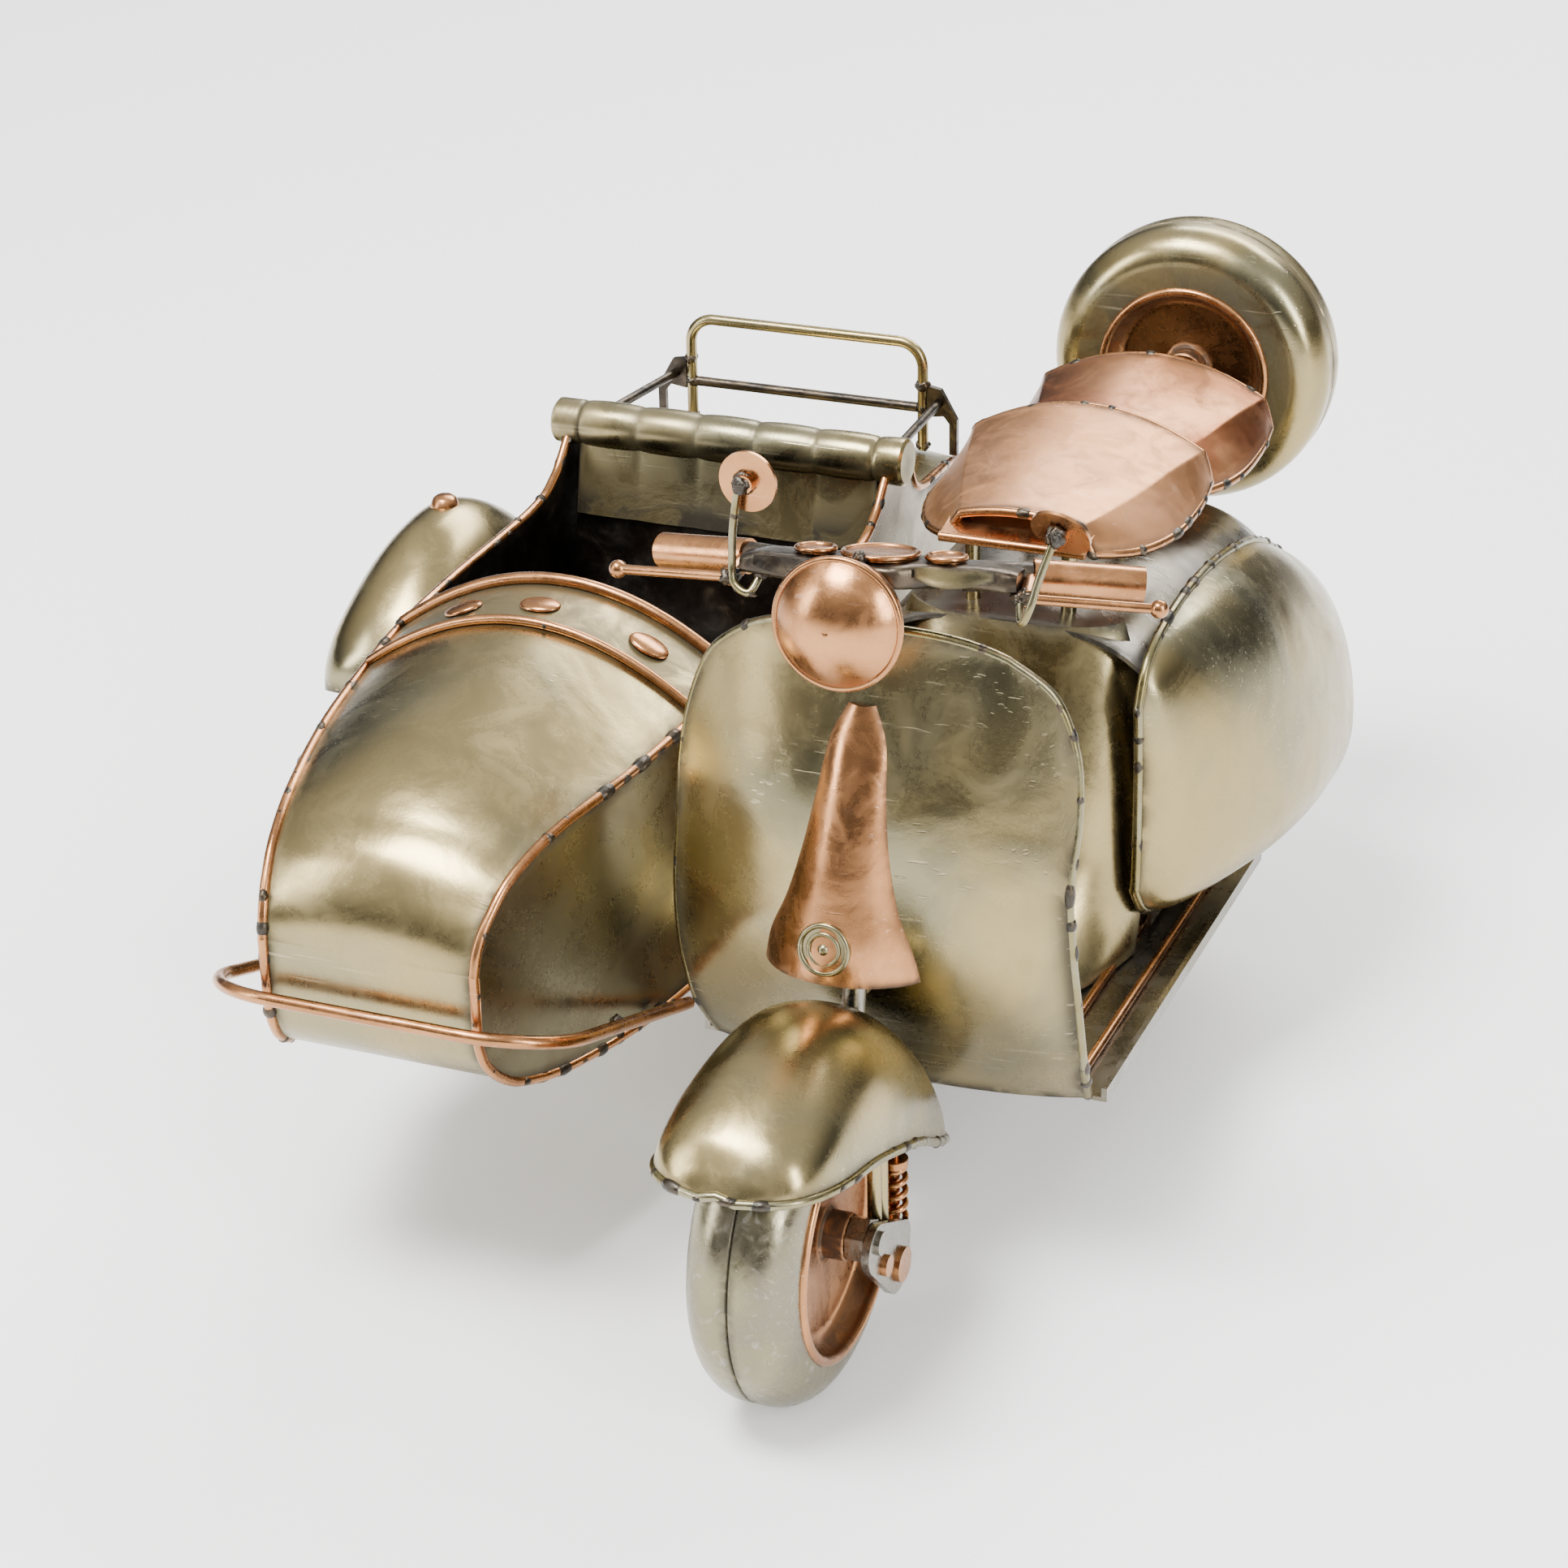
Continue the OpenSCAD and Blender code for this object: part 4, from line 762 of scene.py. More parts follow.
class SCOOTER_OT_body(bpy.types.Operator):
    """Rear body sheets and the cowl with its edge wire"""
    bl_idname = "scooter.make_body"
    bl_label = "Rear body"

    def execute(self, context):
        t, w, *_ = sizes()
        skin("body_front", sheet_mesh("body_front", front_grid(), t), "aged_brass")
        wrap = wrap_grid()
        skin("body_wrap", sheet_mesh("body_wrap", wrap, t), "nickel_sheet")
        start = BODY_START + 6
        outline = [[p[1], p[2]] for p in wrap[:, 0]] + [[start, 34], [start, 60]]
        for side, node in ((1, "body_side_left"), (-1, "body_side_right")):
            skin(node, plate_mesh(node, outline, side * (BODY_HALF - t), side * BODY_HALF), "nickel_sheet")
        cowl = cowl_grid()
        skin("left_cowl", sheet_mesh("left_cowl", cowl, t, 1.8), "aged_brass")
        edge = np.concatenate([cowl[:, 0], cowl[-1, 6:-6:6], cowl[::-1, -1], cowl[0, -7:5:-6]])
        wires("left_cowl_wire", [edge], w, "wire_brass", ["left_cowl_trim"],
              closed=True, seed=5)
        return {"FINISHED"}


class SCOOTER_OT_seats(bpy.types.Operator):
    """Both saddles with their rolled edges"""
    bl_idname = "scooter.make_seats"
    bl_label = "Seats"

    def execute(self, context):
        t, w, *_ = sizes()
        for node, move, metal, seed in (("front_seat", np.zeros(3), "seat_copper", 7),
                                        ("rear_seat", REAR_SEAT_SHIFT, "dark_seat", 11)):
            grid = seat_grid() + move
            skin(node, sheet_mesh(node, grid, t, 1.2), metal, slot="copper_plate")
            edge = np.concatenate([grid[:, 0], grid[-1, 1:-1], grid[::-1, -1], grid[0, -2:0:-1]])
            wires(node + "_wire", [edge], w, "copper_plate", [node + "_trim"],
                  closed=True, seed=seed)
        return {"FINISHED"}


class SCOOTER_OT_fender(bpy.types.Operator):
    """Front fender with its edge wire"""
    bl_idname = "scooter.make_fender"
    bl_label = "Front fender"

    def execute(self, context):
        grid = fender_grid(FENDER_ROWS)
        skin("front_fender", sheet_mesh("front_fender", grid, sizes()[0], 1.6), "aged_brass", body="steering")
        middle = grid.shape[1] // 2
        edge = np.concatenate([grid[:, 0], grid[-1:, middle], grid[::-1, -1], grid[:1, middle]])
        wires("front_fender_wire", [edge], 0.8, "wire_brass", ["front_fender_trim"], "steering",
              closed=True, seed=13)
        return {"FINISHED"}


SPRING_AT = (12.2, 13.2)
SPRING_LOW, SPRING_HIGH = 25.8, 35.6


def at_spring(side):
    """Stands a lathe profile upright on one side of the fork."""
    return lambda p: stack(side * (SPRING_AT[0] + p[:, 1]), SPRING_AT[1] + p[:, 2], p[:, 0])


class SCOOTER_OT_fork(bpy.types.Operator):
    """Suspension springs on their pins"""
    bl_idname = "scooter.make_fork"
    bl_label = "Fork springs"

    def execute(self, context):
        turns, radius = 4, 1.8
        a = np.linspace(0, 2 * math.pi * turns, 24 * turns + 1)
        coil = stack(SPRING_AT[0] + radius * np.cos(a), SPRING_AT[1] + radius * np.sin(a),
                     np.linspace(SPRING_LOW, SPRING_HIGH, len(a)))
        wires("fork_spring_coils", [coil, flip(coil)], 0.55, "copper_plate", [], "steering",
              share=0.0, sides=12)
        pins = []
        for side in (1, -1):
            for low, high, r in ((22.5, 35.7, 0.9), (35.6, 37.0, 2.3), (36.9, 44.5, 0.9)):
                profile = [[low, 0.001], [low, r - 0.1], [low + 0.1, r], [high - 0.1, r], [high, r - 0.1],
                           [high, 0.001]]
                pins.append(lathe_mesh("pin", profile, at_spring(side), 32))
        piece("fork_spring_pins", joined("fork_spring_pins", pins), "steering", ["copper_plate"],
              ["fork_springs"])
        return {"FINISHED"}


BAR_TILT, BAR_TURN = math.radians(2.5), math.radians(5)
BAR_AT = np.array([1.5, -5.1, 71.3])
ARM_END = np.array([23.4, 5.1, 0])


def in_bar(points):
    """Points in the handlebar's frame, x across and z along the steering axis, moved to the layout."""
    turn = Matrix.Rotation(BAR_TURN, 3, "Z") @ Matrix.Rotation(-BAR_TILT, 3, "Y")
    return in_neck(np.asarray(points, float) @ np.array(turn).T + BAR_AT)


def rod_mesh(name, a, b, radius, into, steps=32):
    """Round rod between two points of the frame that into() moves to the layout."""
    a, b = np.asarray(a, float), np.asarray(b, float)
    size = np.linalg.norm(b - a)
    turn = np.array(Vector((b - a).tolist()).to_track_quat("X", "Z").to_matrix())
    soft = min(0.15, radius / 4)
    profile = [[0, 0.001], [0, radius - soft], [soft, radius], [size - soft, radius], [size, radius - soft],
               [size, 0.001]]
    return lathe_mesh(name, profile, lambda p: into(p @ turn.T + a), steps)


def bar_grid():
    """Rings round the folded bar: a broad middle under the gauges and a narrow waist at each arm."""
    x = np.linspace(-22.6, 22.6, 91)[:, None]
    a = np.linspace(0, 2 * math.pi, 48, endpoint=False)[None, :]
    wide = 4.3 + 3.1 * np.exp(-(x / 6.2) ** 4) - 0.9 * np.clip((np.abs(x) - 17) / 5.6, 0, 1) ** 2
    low = -1.5 - 0.25 * np.sin(x * 0.33)
    high = 2.55 - 0.9 * np.clip((np.abs(x) - 17) / 5.6, 0, 1) ** 2
    c, s = np.cos(a), np.sin(a)
    y = -0.4 + 0.9 * np.clip((np.abs(x) - 12) / 10, 0, 1) + wide * np.sign(c) * np.abs(c) ** 0.42
    z = (high + low) / 2 + (high - low) / 2 * np.sign(s) * np.abs(s) ** 0.5
    return stack(x, y + 0.15 * np.sin(x * 0.9) * np.abs(c), z)


def flap_grid(side):
    """Lip of sheet folded down over the front of the bar, standing a little off it."""
    u = np.linspace(0, 1, 40)[:, None]
    v = np.linspace(0, 1, 12)[None, :]
    x = 7.0 + 12.6 * u
    drop = (0.35 + 0.65 * np.sin(math.pi * np.clip(u * 0.85 + 0.1, 0, 1)) ** 0.7) * 3.0
    y = -5.1 - 0.9 * v * np.sin(math.pi * u) - 0.35 * np.sin(7 * u) * v - 1.0 * (1 - u) ** 2
    return stack(side * x, y, 2.3 - drop * v)


class SCOOTER_OT_handlebar(bpy.types.Operator):
    """Folded sheet handlebar with its lips and arms"""
    bl_idname = "scooter.make_handlebar"
    bl_label = "Handlebar"

    def execute(self, context):
        rings = bar_grid()
        n, m = rings.shape[:2]
        points = np.concatenate([rings.reshape(-1, 3), rings[:1].mean(axis=1), rings[-1:].mean(axis=1)])
        faces = grid_faces(n, m, close_cols=True)
        last = (n - 1) * m
        faces += [[n * m, (j + 1) % m, j] for j in range(m)]
        faces += [[n * m + 1, last + j, last + (j + 1) % m] for j in range(m)]
        parts = [finished(mesh_from("bar", in_bar(points), faces))]
        for side in (1, -1):
            parts.append(rod_mesh("arm", [13 * side, 1, 0], ARM_END * [side, 1, 1], 2.4, in_bar))
            lip = flap_grid(side)[::side]
            # painted highlight: the right lip takes brass, the left lip the bar's dark metal
            parts.append(one_finish(sheet_mesh("lip", in_bar(lip), 0.4, 0.7), int(side > 0)))
        piece("folded_bar", joined("folded_bar", parts), "steering", ["dark_metal", "aged_brass"],
              ["handlebar"])
        return {"FINISHED"}


def at_sidecar(points):
    return np.asarray(points) + [-SIDECAR_X, 0, 0]


class SCOOTER_OT_solder(bpy.types.Operator):
    """Lumps of solder where rods and stems meet the sheets"""
    bl_idname = "scooter.make_solder"
    bl_label = "Solder lumps"

    def execute(self, context):
        bar = [in_bar([side * 24.3, -2.2, -1.9]) for side in (1, -1)]
        solder("bar_solder", bar + [[-19.9, 32.6, 142.6], [30.9, 35.9, 139.3]], 1.55, "steering", 2)
        stems = [[-17.5, 33.3, 127.5], [24.5, 37.0, 127.5], in_neck([0.5, -13.0, 74.4])]
        solder("stem_solder", stems, 1.2, "steering", 5)
        hoop = [at_sidecar([side * 25, 190, z]) for side in (1, -1) for z in (89.8, 97.6, 102.4)]
        hoop += [at_sidecar([side * 30.9, 155.5, 100.6]) for side in (1, -1)]
        solder("luggage_solder", hoop, 1.35, "chassis", 3)
        nose = [at_sidecar([side * 31.9, y, z]) for side in (1, -1) for y, z in ((22, 47.3), (40, 40.4))]
        solder("bumper_solder", nose, 1.3, "chassis", 7)
        return {"FINISHED"}


STEM_RIGHT = [
    [-17.4, 33.5, 127.6], [-18.4, 30.4, 125.2], [-21.2, 31.0, 126.4],
    [-21.8, 32.0, 129.4], [-21.5, 32.0, 135.3], [-20.6, 32.2, 142.0]]
STEM_LEFT = [
    [24.6, 37.4, 127.6], [26.4, 32.8, 125.4], [27.9, 32.4, 128.2], [28.8, 34.2, 132.6], [30.4, 35.8, 138.0]]


class SCOOTER_OT_mirrors(bpy.types.Operator):
    """Bent stems of the two mirrors"""
    bl_idname = "scooter.make_mirror_stems"
    bl_label = "Mirror stems"

    def execute(self, context):
        paths = [along(rows, np.linspace(0, 1, 60)) for rows in (STEM_LEFT, STEM_RIGHT)]
        wires("mirror_stem_wires", paths, 0.65, "wire_brass", ["mirror_stems"], "steering",
              share=0.25, bead=1.3, spacing=4.0, seed=4)
        return {"FINISHED"}


def tyre_profile(r, depth=BEAD_IN, s=SHOULDER):
    """Closed profile of a tyre: rounded shoulders, a seam round the tread, open towards the axle."""
    half, bead = TYRE_W / 2, r - depth
    arc = np.linspace(0, math.pi / 2, 15)
    outer = [[half, bead]] + [[half - s + s * math.cos(a), r - s + s * math.sin(a)] for a in arc]
    seam = [[0.32, r - 0.02], [0.16, r - 0.2], [0.0, r - 0.45]]
    right = outer + seam
    shell = right + [[-x, y] for x, y in right[-2::-1]]
    wall = 0.8
    inside = s - wall
    inner = [[-(half - wall), bead]] + [[-(half - s + inside * math.cos(a)), r - s + inside * math.sin(a)]
                                        for a in arc]
    inner += [[-x, y] for x, y in inner[::-1]]
    # painted reflection: the spare's flat side face is darkened (share 0.45 in "rim"), standing in for the
    # dark surroundings it reflects
    face = 0.45 if depth > BEAD_IN else 0.0
    rim = [math.exp(-(x / 0.5) ** 2) if y > r - 2 else (0.8 if y < bead + 0.5 else face * (y < r - s + 0.5))
           for x, y in shell]
    return shell + inner, rim + [0.0] * len(inner)


def hub_profile(rim, bore):
    """Closed profile of a hub: a bush, two dished discs and their rolled rims."""
    roll, edge = 0.9, TYRE_W / 2 - 0.1
    turn = np.linspace(-0.4, math.pi * 1.15, 15)
    face = [[HUB_FACE, bore], [HUB_FACE, 3.7], [HUB_FACE - 0.3, 4.0], [DISC_X + 0.5, 4.0],
            [DISC_X + 0.1, 4.4], [DISC_X, 5.2], [DISC_X, rim - 4.0], [DISC_X + 0.25, rim - 3.0],
            [DISC_X + 1.2, rim - 1.9], [edge - 1.0, rim - 0.9]]
    face += [[edge + roll * math.sin(a), rim - roll * math.cos(a)] for a in turn]
    back = [[DISC_X + 0.8, rim - 0.95], [DISC_X - 0.8, rim - 3.3], [DISC_X - 0.8, 4.0]]
    right = face + back
    left = [[-x, y] for x, y in right[::-1]]
    mark = [1.0 if 3.9 < y < 4.6 else (0.7 if abs(y - rim + 1.6) < 1.2 else 0.0) for x, y in right]
    return right + left, mark + mark[::-1]


def at_wheel(x, y):
    return lambda p: p + [x, y, WHEEL_R]


class SCOOTER_OT_wheels(bpy.types.Operator):
    """Tyres and hubs of the three wheels and the spare"""
    bl_idname = "scooter.make_wheels"
    bl_label = "Wheels"

    def execute(self, context):
        running = ((WHEEL_R,), RIM_R, 2.06, "tyre_brass")
        spare = ((SPARE_R, SPARE_BEAD, SPARE_SHOULDER), SPARE_R - SPARE_BEAD - 0.4, 2.0, "aged_brass")
        for label, body, place, (tyre_sizes, rim, bore, metal) in (
                ("front", "front_wheel", at_wheel(0, 0), running),
                ("rear", "rear_wheel", at_wheel(0, WHEELBASE), running),
                ("sidecar", "sidecar_wheel", at_wheel(-SIDE_WHEEL_X, WHEELBASE), running),
                ("spare", "chassis", lambda p: p[:, [1, 0, 2]] * [-1, 1, 1] + SPARE, spare)):
            profile, share = tyre_profile(*tyre_sizes)
            tyre = lathe_mesh("tyre", profile, place, 160, share)
            piece(label + "_tyre_shell", tyre, body, [metal], [label + "_tyre"])
            profile, share = hub_profile(rim, bore)
            hub = lathe_mesh("hub", profile, place, 128, share)
            piece(label + "_hub_disc", hub, body, ["copper_plate"], [label + "_hub"])
        return {"FINISHED"}


def hull_edge(y, column):
    """Path along the sidecar's side at one column of its rows."""
    q = station(HULL_ROWS, y)
    return stack(q[:, 3] - 0.4, q[:, 0], q[:, column])


class SCOOTER_OT_sidecar(bpy.types.Operator):
    """Sidecar's panels, nose and floor sheet, deck and edge wires"""
    bl_idname = "scooter.make_sidecar"
    bl_label = "Sidecar body"

    def execute(self, context):
        t, w, *_ = sizes()
        ys = np.concatenate([nose_spread(NOSE_Y, 38, 40)[:-1], np.linspace(38, 136, 40)[:-1],
                             np.linspace(136, 166, 30)[:-1], np.linspace(166, TAIL_Y, 36)])
        q = station(HULL_ROWS, ys)[:, :, None]
        up = np.linspace(0, 1, 17)[None, :]
        side = stack(q[:, 3] - 0.02, q[:, 0], q[:, 2] + (q[:, 1] - q[:, 2]) * up)
        panels = [sheet_mesh("panel", at_sidecar(grid), t) for grid in (side, flip(side)[:, ::-1])]
        # painted reflection on the outer faces (darker brass copy), painted shade on the inner faces
        # (near-black cockpit finish)
        piece("sidecar_side_panels", joined("sidecar_side_panels", panels), "chassis",
              ["shaded_side_brass", "cockpit"], ["sidecar_sides"])

        top_ys = nose_spread(NOSE_Y, DASH_Y, 70)[::-1]
        low_ys = np.concatenate([nose_spread(NOSE_Y, 60, 40)[:-1], np.linspace(60, DECK_Y, 20)[:-1],
                                 np.linspace(DECK_Y, TAIL_Y, 40)])
        top, low = hull_lines(top_ys, True), hull_lines(low_ys, False)
        chin = [top[-1] + (low[0] - top[-1]) * k for k in (0.25, 0.5, 0.75)]
        wrap = np.concatenate([top, np.array(chin), low])
        band = np.zeros(wrap.shape[:2])
        band[:len(top_ys)] = np.where(top_ys > DASH_Y - DASH_BAND, 0.55, 0.0)[:, None]
        nose = sheet_mesh("nose", at_sidecar(wrap), t, 1.5, ("first", "left", "right"), band)
        # painted shade: the inner faces of the nose and deck sheets take the near-black cockpit finish
        metals = ["aged_brass", "cockpit"]
        piece("sidecar_nose_sheet", nose, "chassis", metals, ["sidecar_wrap"])
        deck = hull_lines(np.linspace(TAIL_Y, DECK_Y, 60), True)
        foot = hull_lines(np.array([TAIL_Y]), False)
        turned = foot + (deck[:1] - foot) * np.array([0.1, 0.4, 0.7])[:, None, None]
        tail = sheet_mesh("deck", at_sidecar(np.concatenate([turned, deck])), t)
        piece("sidecar_deck_sheet", tail, "chassis", metals, ["sidecar_deck"])

        path = np.concatenate([
            hull_edge(np.linspace(130, 38, 24)[:-1], 1), hull_edge(nose_spread(NOSE_Y, 38, 50)[::-1], 1),
            hull_edge(nose_spread(NOSE_Y, 74, 60), 2), hull_edge(np.linspace(74, 198, 110)[1:], 2)])
        wires("sidecar_edge_wires", [at_sidecar(path), at_sidecar(flip(path))], w, "copper_plate",
              ["sidecar_trim"], seed=17)
        for y, r, seed in ((DASH_Y - DASH_BAND, 0.85, 19), (DASH_Y, 1.1, 23)):
            line = hull_lines(np.array([y]), True)[0] + [0, 0, WIRE_LIFT]
            wires(f"dash_wire_{seed}", [at_sidecar(line)], r, "copper_plate", ["dash_trim"],
                  bead=1.15, spacing=7.0, share=0.4, seed=seed)
        return {"FINISHED"}


def on_dash(x, y):
    """Sets a dome, turned about its height, on the crowned dash at x, y."""
    q = station(HULL_ROWS, np.array([y]))[0]
    lean = 2 * q[4] * x / q[3] ** 2
    size = math.hypot(1, lean)
    side, up = np.array([1, 0, -lean]) / size, np.array([lean, 0, 1]) / size
    centre = np.array([x, y, q[2] + q[4] * (1 - (x / q[3]) ** 2) - 0.1])
    back = np.array([0, 0.82, 0])
    return lambda p: at_sidecar(centre + p[:, 1:2] * 1.12 * side + p[:, 2:3] * back + p[:, 0:1] * up)


class SCOOTER_OT_studs(bpy.types.Operator):
    """Domed studs on the dash band"""
    bl_idname = "scooter.make_studs"
    bl_label = "Dash studs"

    def execute(self, context):
        profile = [[0.001 + 1.0 * math.cos(a) ** 0.8, max(3.4 * math.sin(a), 0.001)]
                   for a in np.linspace(0, math.pi / 2, 10)] + [[0.0, 0.001]]
        domes = [lathe_mesh("dome", profile, on_dash(x, DASH_Y - 8), 48) for x in (-15.5, -0.5, 20)]
        piece("dash_stud_domes", joined("dash_stud_domes", domes), "chassis", ["copper_plate"],
              ["dash_studs"])
        return {"FINISHED"}


class SCOOTER_OT_bench(bpy.types.Operator):
    """Sidecar bench with its pleated roll"""
    bl_idname = "scooter.make_bench"
    bl_label = "Sidecar bench"

    def execute(self, context):
        outline = [[112, 50.5], [112, 52], [112.4, 53.8], [114, 55], [127, 54.6], [140, 52.8], [141.2, 54.2],
                   [149.5, 99], [151.5, 99], [143, 51.6], [142.5, 50.5]]
        # painted shade: the bench shell takes the near-black cockpit finish
        shell = one_finish(plate_mesh("bench", outline, -31.5 - SIDECAR_X, 31.5 - SIDECAR_X), 1)

        def pleats(x, power):
            return np.abs(np.sin(math.pi * (x + 30.5) / 12.2)) ** power

        half = 36.5
        xs = np.linspace(-half, half, 147)
        ridge = np.where(xs > -30.6, pleats(xs, 0.35), 0.55)
        shut = np.clip((half - np.abs(xs)) / 0.6, 0, 1) ** 0.5
        radius = (4.05 + 0.6 * ridge) * (0.86 + 0.14 * shut)
        profile = [[-half, 0.001]] + [[x, r] for x, r in zip(xs, radius)] + [[half, 0.001]]
        # painted shade: the roll is darkened in its pleat valleys and at its two ends, through its "rim"
        # share
        share = [0.4] + [float(0.9 * (1 - k)) for k in ridge] + [0.4]
        roll = lathe_mesh("roll", profile, lambda p: at_sidecar(p + [0, 150.6, 101.6]), 64, share)

        x = np.linspace(31, -31, 90)[None, :]
        z = np.linspace(100.5, 84.5, 30)[:, None]
        apron = stack(x, 140 + 9.5 * (z - 52.5) / 46.5 - 0.75 - 0.35 * pleats(x, 0.5), z)
        shade = np.clip((98 - z) / 11, 0, 1) ** 1.1
        apron = one_finish(sheet_mesh("apron", at_sidecar(apron), 0.4, 0.8, extra=shade), 0)
        piece("sidecar_bench", joined("sidecar_bench", [shell, roll, apron]), "chassis",
              ["aged_brass", "cockpit"], ["sidecar_seat"])
        return {"FINISHED"}


class SCOOTER_OT_side_fender(bpy.types.Operator):
    """Fender over the sidecar wheel with its rivet and stay"""
    bl_idname = "scooter.make_side_fender"
    bl_label = "Sidecar fender"

    def execute(self, context):
        move = np.array([-SIDE_WHEEL_X, WHEELBASE, 0])
        sheet = sheet_mesh("sheet", fender_grid(SIDE_FENDER_ROWS) + move, sizes()[0], 1.8)
        rivet = [[70.6, 0.001], [70.6, 3.1], [71.0, 3.1], [72.6, 2.4], [73.1, 1.7], [73.2, 0.001]]
        dome = lathe_mesh("rivet", rivet, lambda p: move + stack(p[:, 1] - 1, p[:, 2] + 3, p[:, 0]), 40)
        start, end = 16.2, SIDE_WHEEL_X - SIDECAR_X - 33.6
        stay = lathe_mesh("stay", [[start, 0.001], [start, 1.5], [end, 1.5], [end, 0.001]],
                          lambda p: move + p + [0, 0, 50], 32)
        skin("sidecar_fender", joined("sidecar_fender", [sheet, one_finish(dome, 2), stay]),
             "aged_brass", "aged_brass", "copper_plate")
        return {"FINISHED"}


KEPT_FINISH = {
    "aged_brass": ["horn_badge", "fork_tubes", "seat_posts", "luggage_hoop"],
    "copper_plate": ["headlamp_rim", "seat_bracket", "gauges", "headlamp_shell", "headlamp_lens", "grips",
                     "levers", "mirrors", "link_rivets", "sidecar_bumper", "floor_runners"],
    "nickel_sheet": ["floorboard"],
    "dark_metal": ["head_tube", "rear_frame", "spare_carrier", "luggage_frame"],
    "plain_steel": ["steering_column", "fork_links", "front_axle", "axle_nuts", "rear_axle", "sidecar_axle"],
}


class SCOOTER_OT_finish_kept(bpy.types.Operator):
    """Finishes of the CAD parts that keep their own shape"""
    bl_idname = "scooter.finish_kept"
    bl_label = "Kept parts"

    def execute(self, context):
        for metal, nodes in KEPT_FINISH.items():
            for node in nodes:
                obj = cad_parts[node]
                if not obj.material_slots:
                    raise RuntimeError(f"{node} has no material slot")
                for slot in obj.material_slots:
                    slot.material = finish(metal)
        return {"FINISHED"}


# ---------- stage ----------

LIGHTS_AIM = (0, 0, 0.06)
CAMERA_AT = (0.25701, -0.58079, 0.36034)
CAMERA_TURN = (
    (0.92702488, -0.14736331, 0.34483174),
    (0.3745575, 0.40851237, -0.83236069),
    (-0.01820861, 0.90077838, 0.43389717))


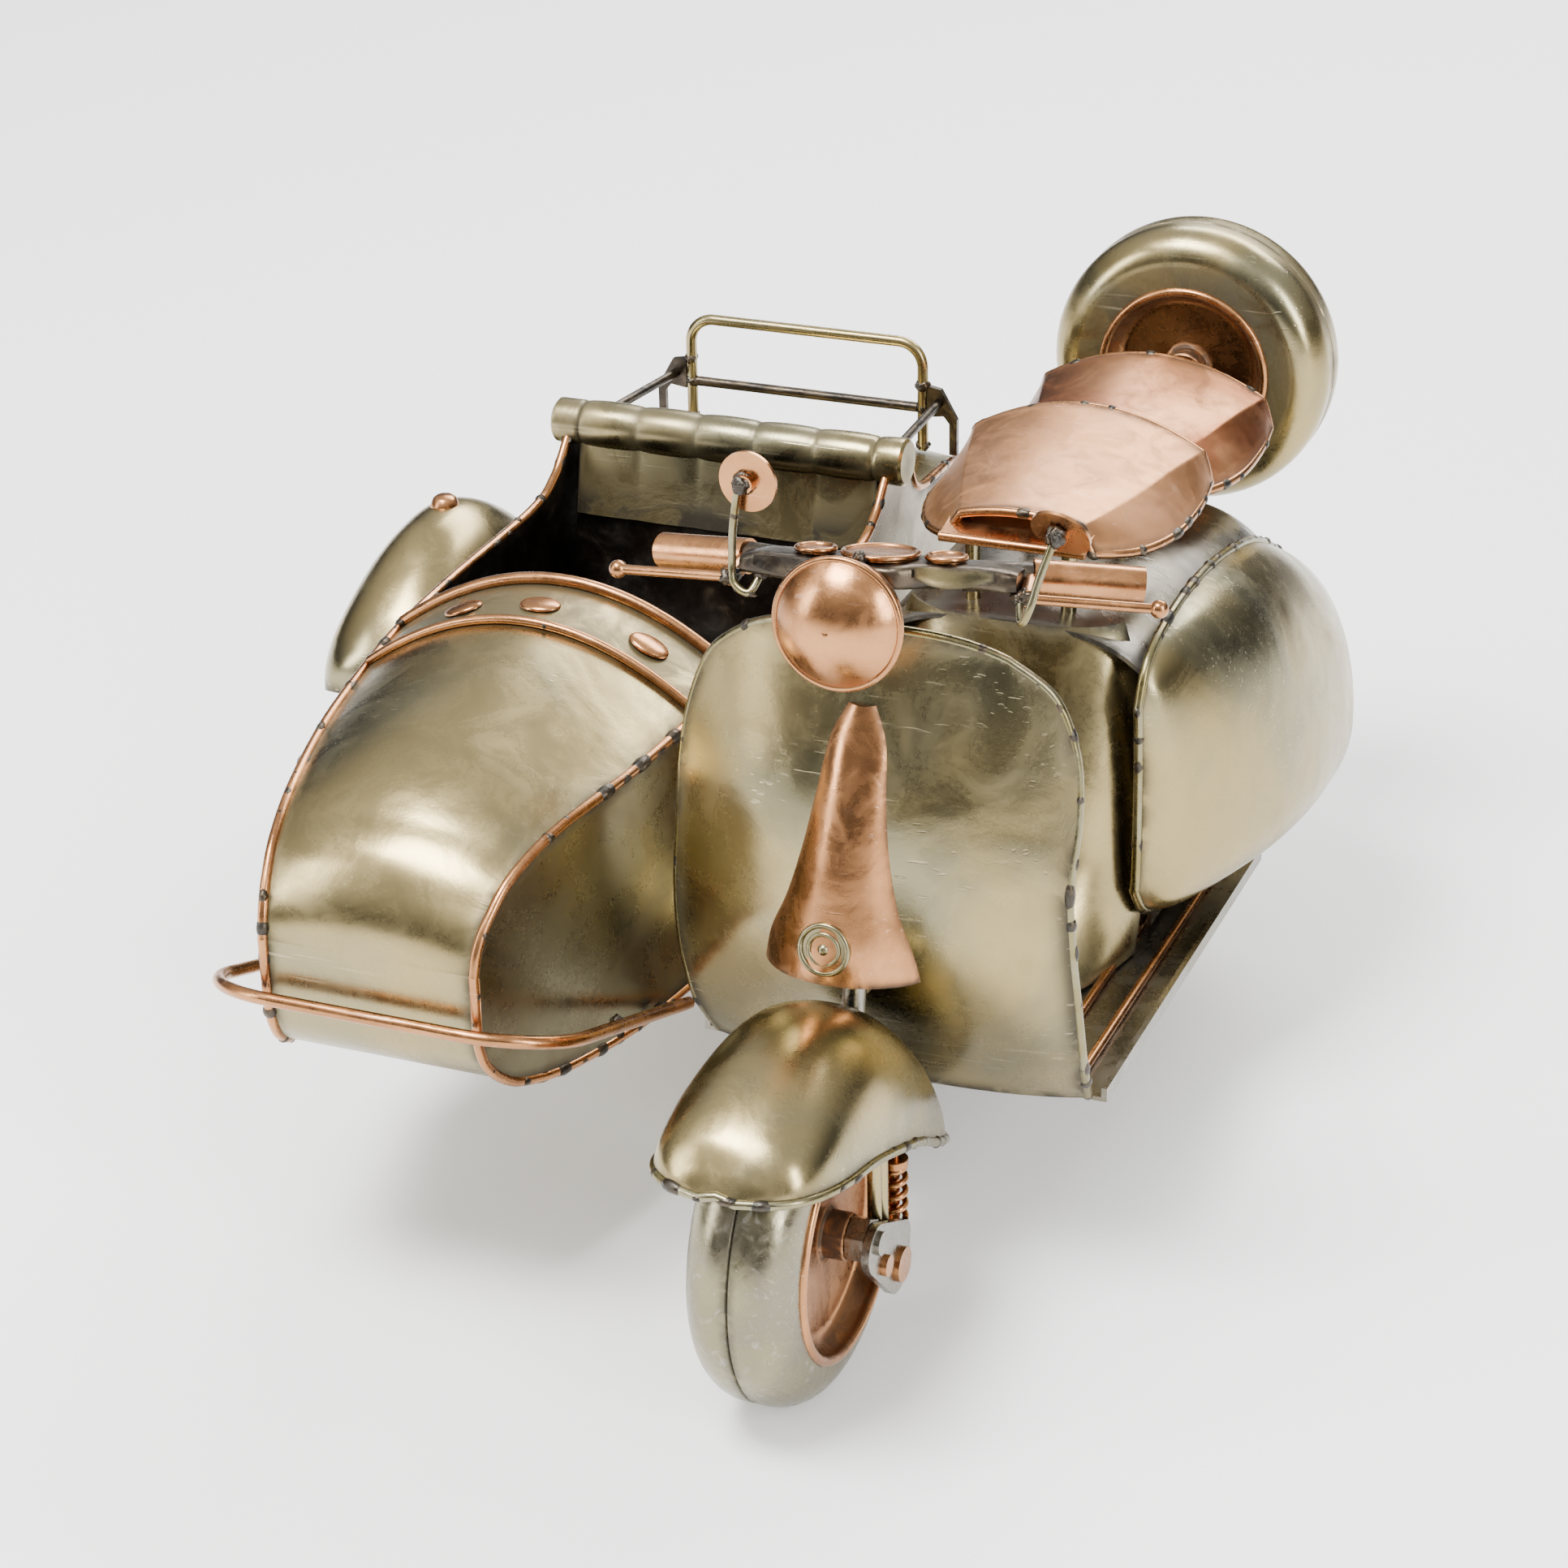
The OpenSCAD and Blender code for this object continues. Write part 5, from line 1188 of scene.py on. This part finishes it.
class SCOOTER_OT_stage(bpy.types.Operator):
    """Pale floor, soft lights and the camera"""
    bl_idname = "scooter.make_stage"
    bl_label = "Stage"

    def execute(self, context):
        scene = context.scene
        mesh = bpy.data.meshes.new("floor")
        half = 6.0
        corners = [(half * x, half * y, 0) for x, y in ((-1, -1), (1, -1), (1, 1), (-1, 1))]
        mesh.from_pydata(corners, [], [(0, 1, 2, 3)])
        floor = bpy.data.objects.new("floor", mesh)
        scene.collection.objects.link(floor)
        pale = bpy.data.materials.new("pale_floor")
        pale.use_nodes = True
        shader = pale.node_tree.nodes["Principled BSDF"]
        shader.inputs["Base Color"].default_value = (0.93, 0.93, 0.93, 1)
        shader.inputs["Roughness"].default_value = 0.7
        shader.inputs["Specular IOR Level"].default_value = 0.2
        shader.inputs["Emission Color"].default_value = (1, 1, 1, 1)
        shader.inputs["Emission Strength"].default_value = 0.25
        mesh.materials.append(pale)

        for name, at, energy, wide, deep in (
                ("key", (-0.25, -0.45, 1.25), 34.0, 0.6, 0.45),
                ("left", (-1.0, -0.75, 0.55), 9.0, 0.22, 0.8),
                ("right", (1.15, -0.55, 0.6), 14.0, 0.25, 0.8),
                ("back", (0.1, 1.1, 1.0), 24.0, 1.1, 0.5)):
            data = bpy.data.lights.new(name, "AREA")
            data.shape, data.size, data.size_y, data.energy = "RECTANGLE", wide, deep, energy
            lamp = bpy.data.objects.new(name, data)
            lamp.location = at
            lamp.rotation_euler = (Vector(LIGHTS_AIM) - Vector(at)).to_track_quat("-Z", "Y").to_euler()
            scene.collection.objects.link(lamp)

        world = bpy.data.worlds.new("room")
        world.use_nodes = True
        world.node_tree.nodes.clear()
        t = Tree(world.node_tree)
        way = t.add("ShaderNodeTexCoord").outputs["Generated"]
        up = t.add("ShaderNodeSeparateXYZ", {0: way}).outputs["Z"]
        share = t.add("ShaderNodeMapRange", {"Value": up, "From Min": 0.15, "From Max": 0.75}).outputs[0]
        room = t.blend(share, (0.05, 0.05, 0.052, 1), (1.1, 1.1, 1.08, 1))
        seen = t.add("ShaderNodeLightPath").outputs["Is Camera Ray"]
        tint = t.blend(seen, room, (1.6, 1.6, 1.6, 1))
        sky = t.add("ShaderNodeBackground", {"Color": tint, "Strength": 1.0})
        t.add("ShaderNodeOutputWorld", {0: sky.outputs[0]})
        scene.world = world

        data = bpy.data.cameras.new("view")
        data.lens, data.sensor_width, data.sensor_fit = 87.5, 36.0, "AUTO"
        data.clip_start, data.clip_end = 0.01, 30.0
        camera = bpy.data.objects.new("view", data)
        camera.matrix_world = Matrix.Translation(CAMERA_AT) @ Matrix(CAMERA_TURN).to_4x4()
        scene.collection.objects.link(camera)
        scene.camera = camera
        return {"FINISHED"}


# ---------- add-on ----------

MAKERS = (
    SCOOTER_OT_shield, SCOOTER_OT_body, SCOOTER_OT_seats, SCOOTER_OT_fender, SCOOTER_OT_fork,
    SCOOTER_OT_mirrors, SCOOTER_OT_wheels, SCOOTER_OT_sidecar, SCOOTER_OT_studs, SCOOTER_OT_bench,
    SCOOTER_OT_side_fender, SCOOTER_OT_handlebar, SCOOTER_OT_solder, SCOOTER_OT_finish_kept, SCOOTER_OT_stage)


class SCOOTER_PT_panel(bpy.types.Panel):
    """Lists the makers with their sizes and colours"""
    bl_idname = "SCOOTER_PT_panel"
    bl_label = "Scooter and sidecar"
    bl_space_type = "VIEW_3D"
    bl_region_type = "UI"
    bl_category = "Scooter"

    def draw(self, context):
        for group in (context.scene.scooter_sizes, context.scene.scooter_colours):
            box = self.layout.box()
            for name in group.__annotations__:
                box.prop(group, name)
        for maker in MAKERS:
            self.layout.operator(maker.bl_idname)


CLASSES = (ScooterSizes, ScooterColours, *MAKERS, SCOOTER_PT_panel)


def register():
    for cls in CLASSES:
        bpy.utils.register_class(cls)
    bpy.types.Scene.scooter_sizes = bpy.props.PointerProperty(type=ScooterSizes)
    bpy.types.Scene.scooter_colours = bpy.props.PointerProperty(type=ScooterColours)


def unregister():
    del bpy.types.Scene.scooter_colours
    del bpy.types.Scene.scooter_sizes
    for cls in reversed(CLASSES):
        bpy.utils.unregister_class(cls)


def main():
    register()
    for maker in MAKERS:
        group, name = maker.bl_idname.split(".")
        getattr(getattr(bpy.ops, group), name)()


if __name__ == "__main__":
    main()
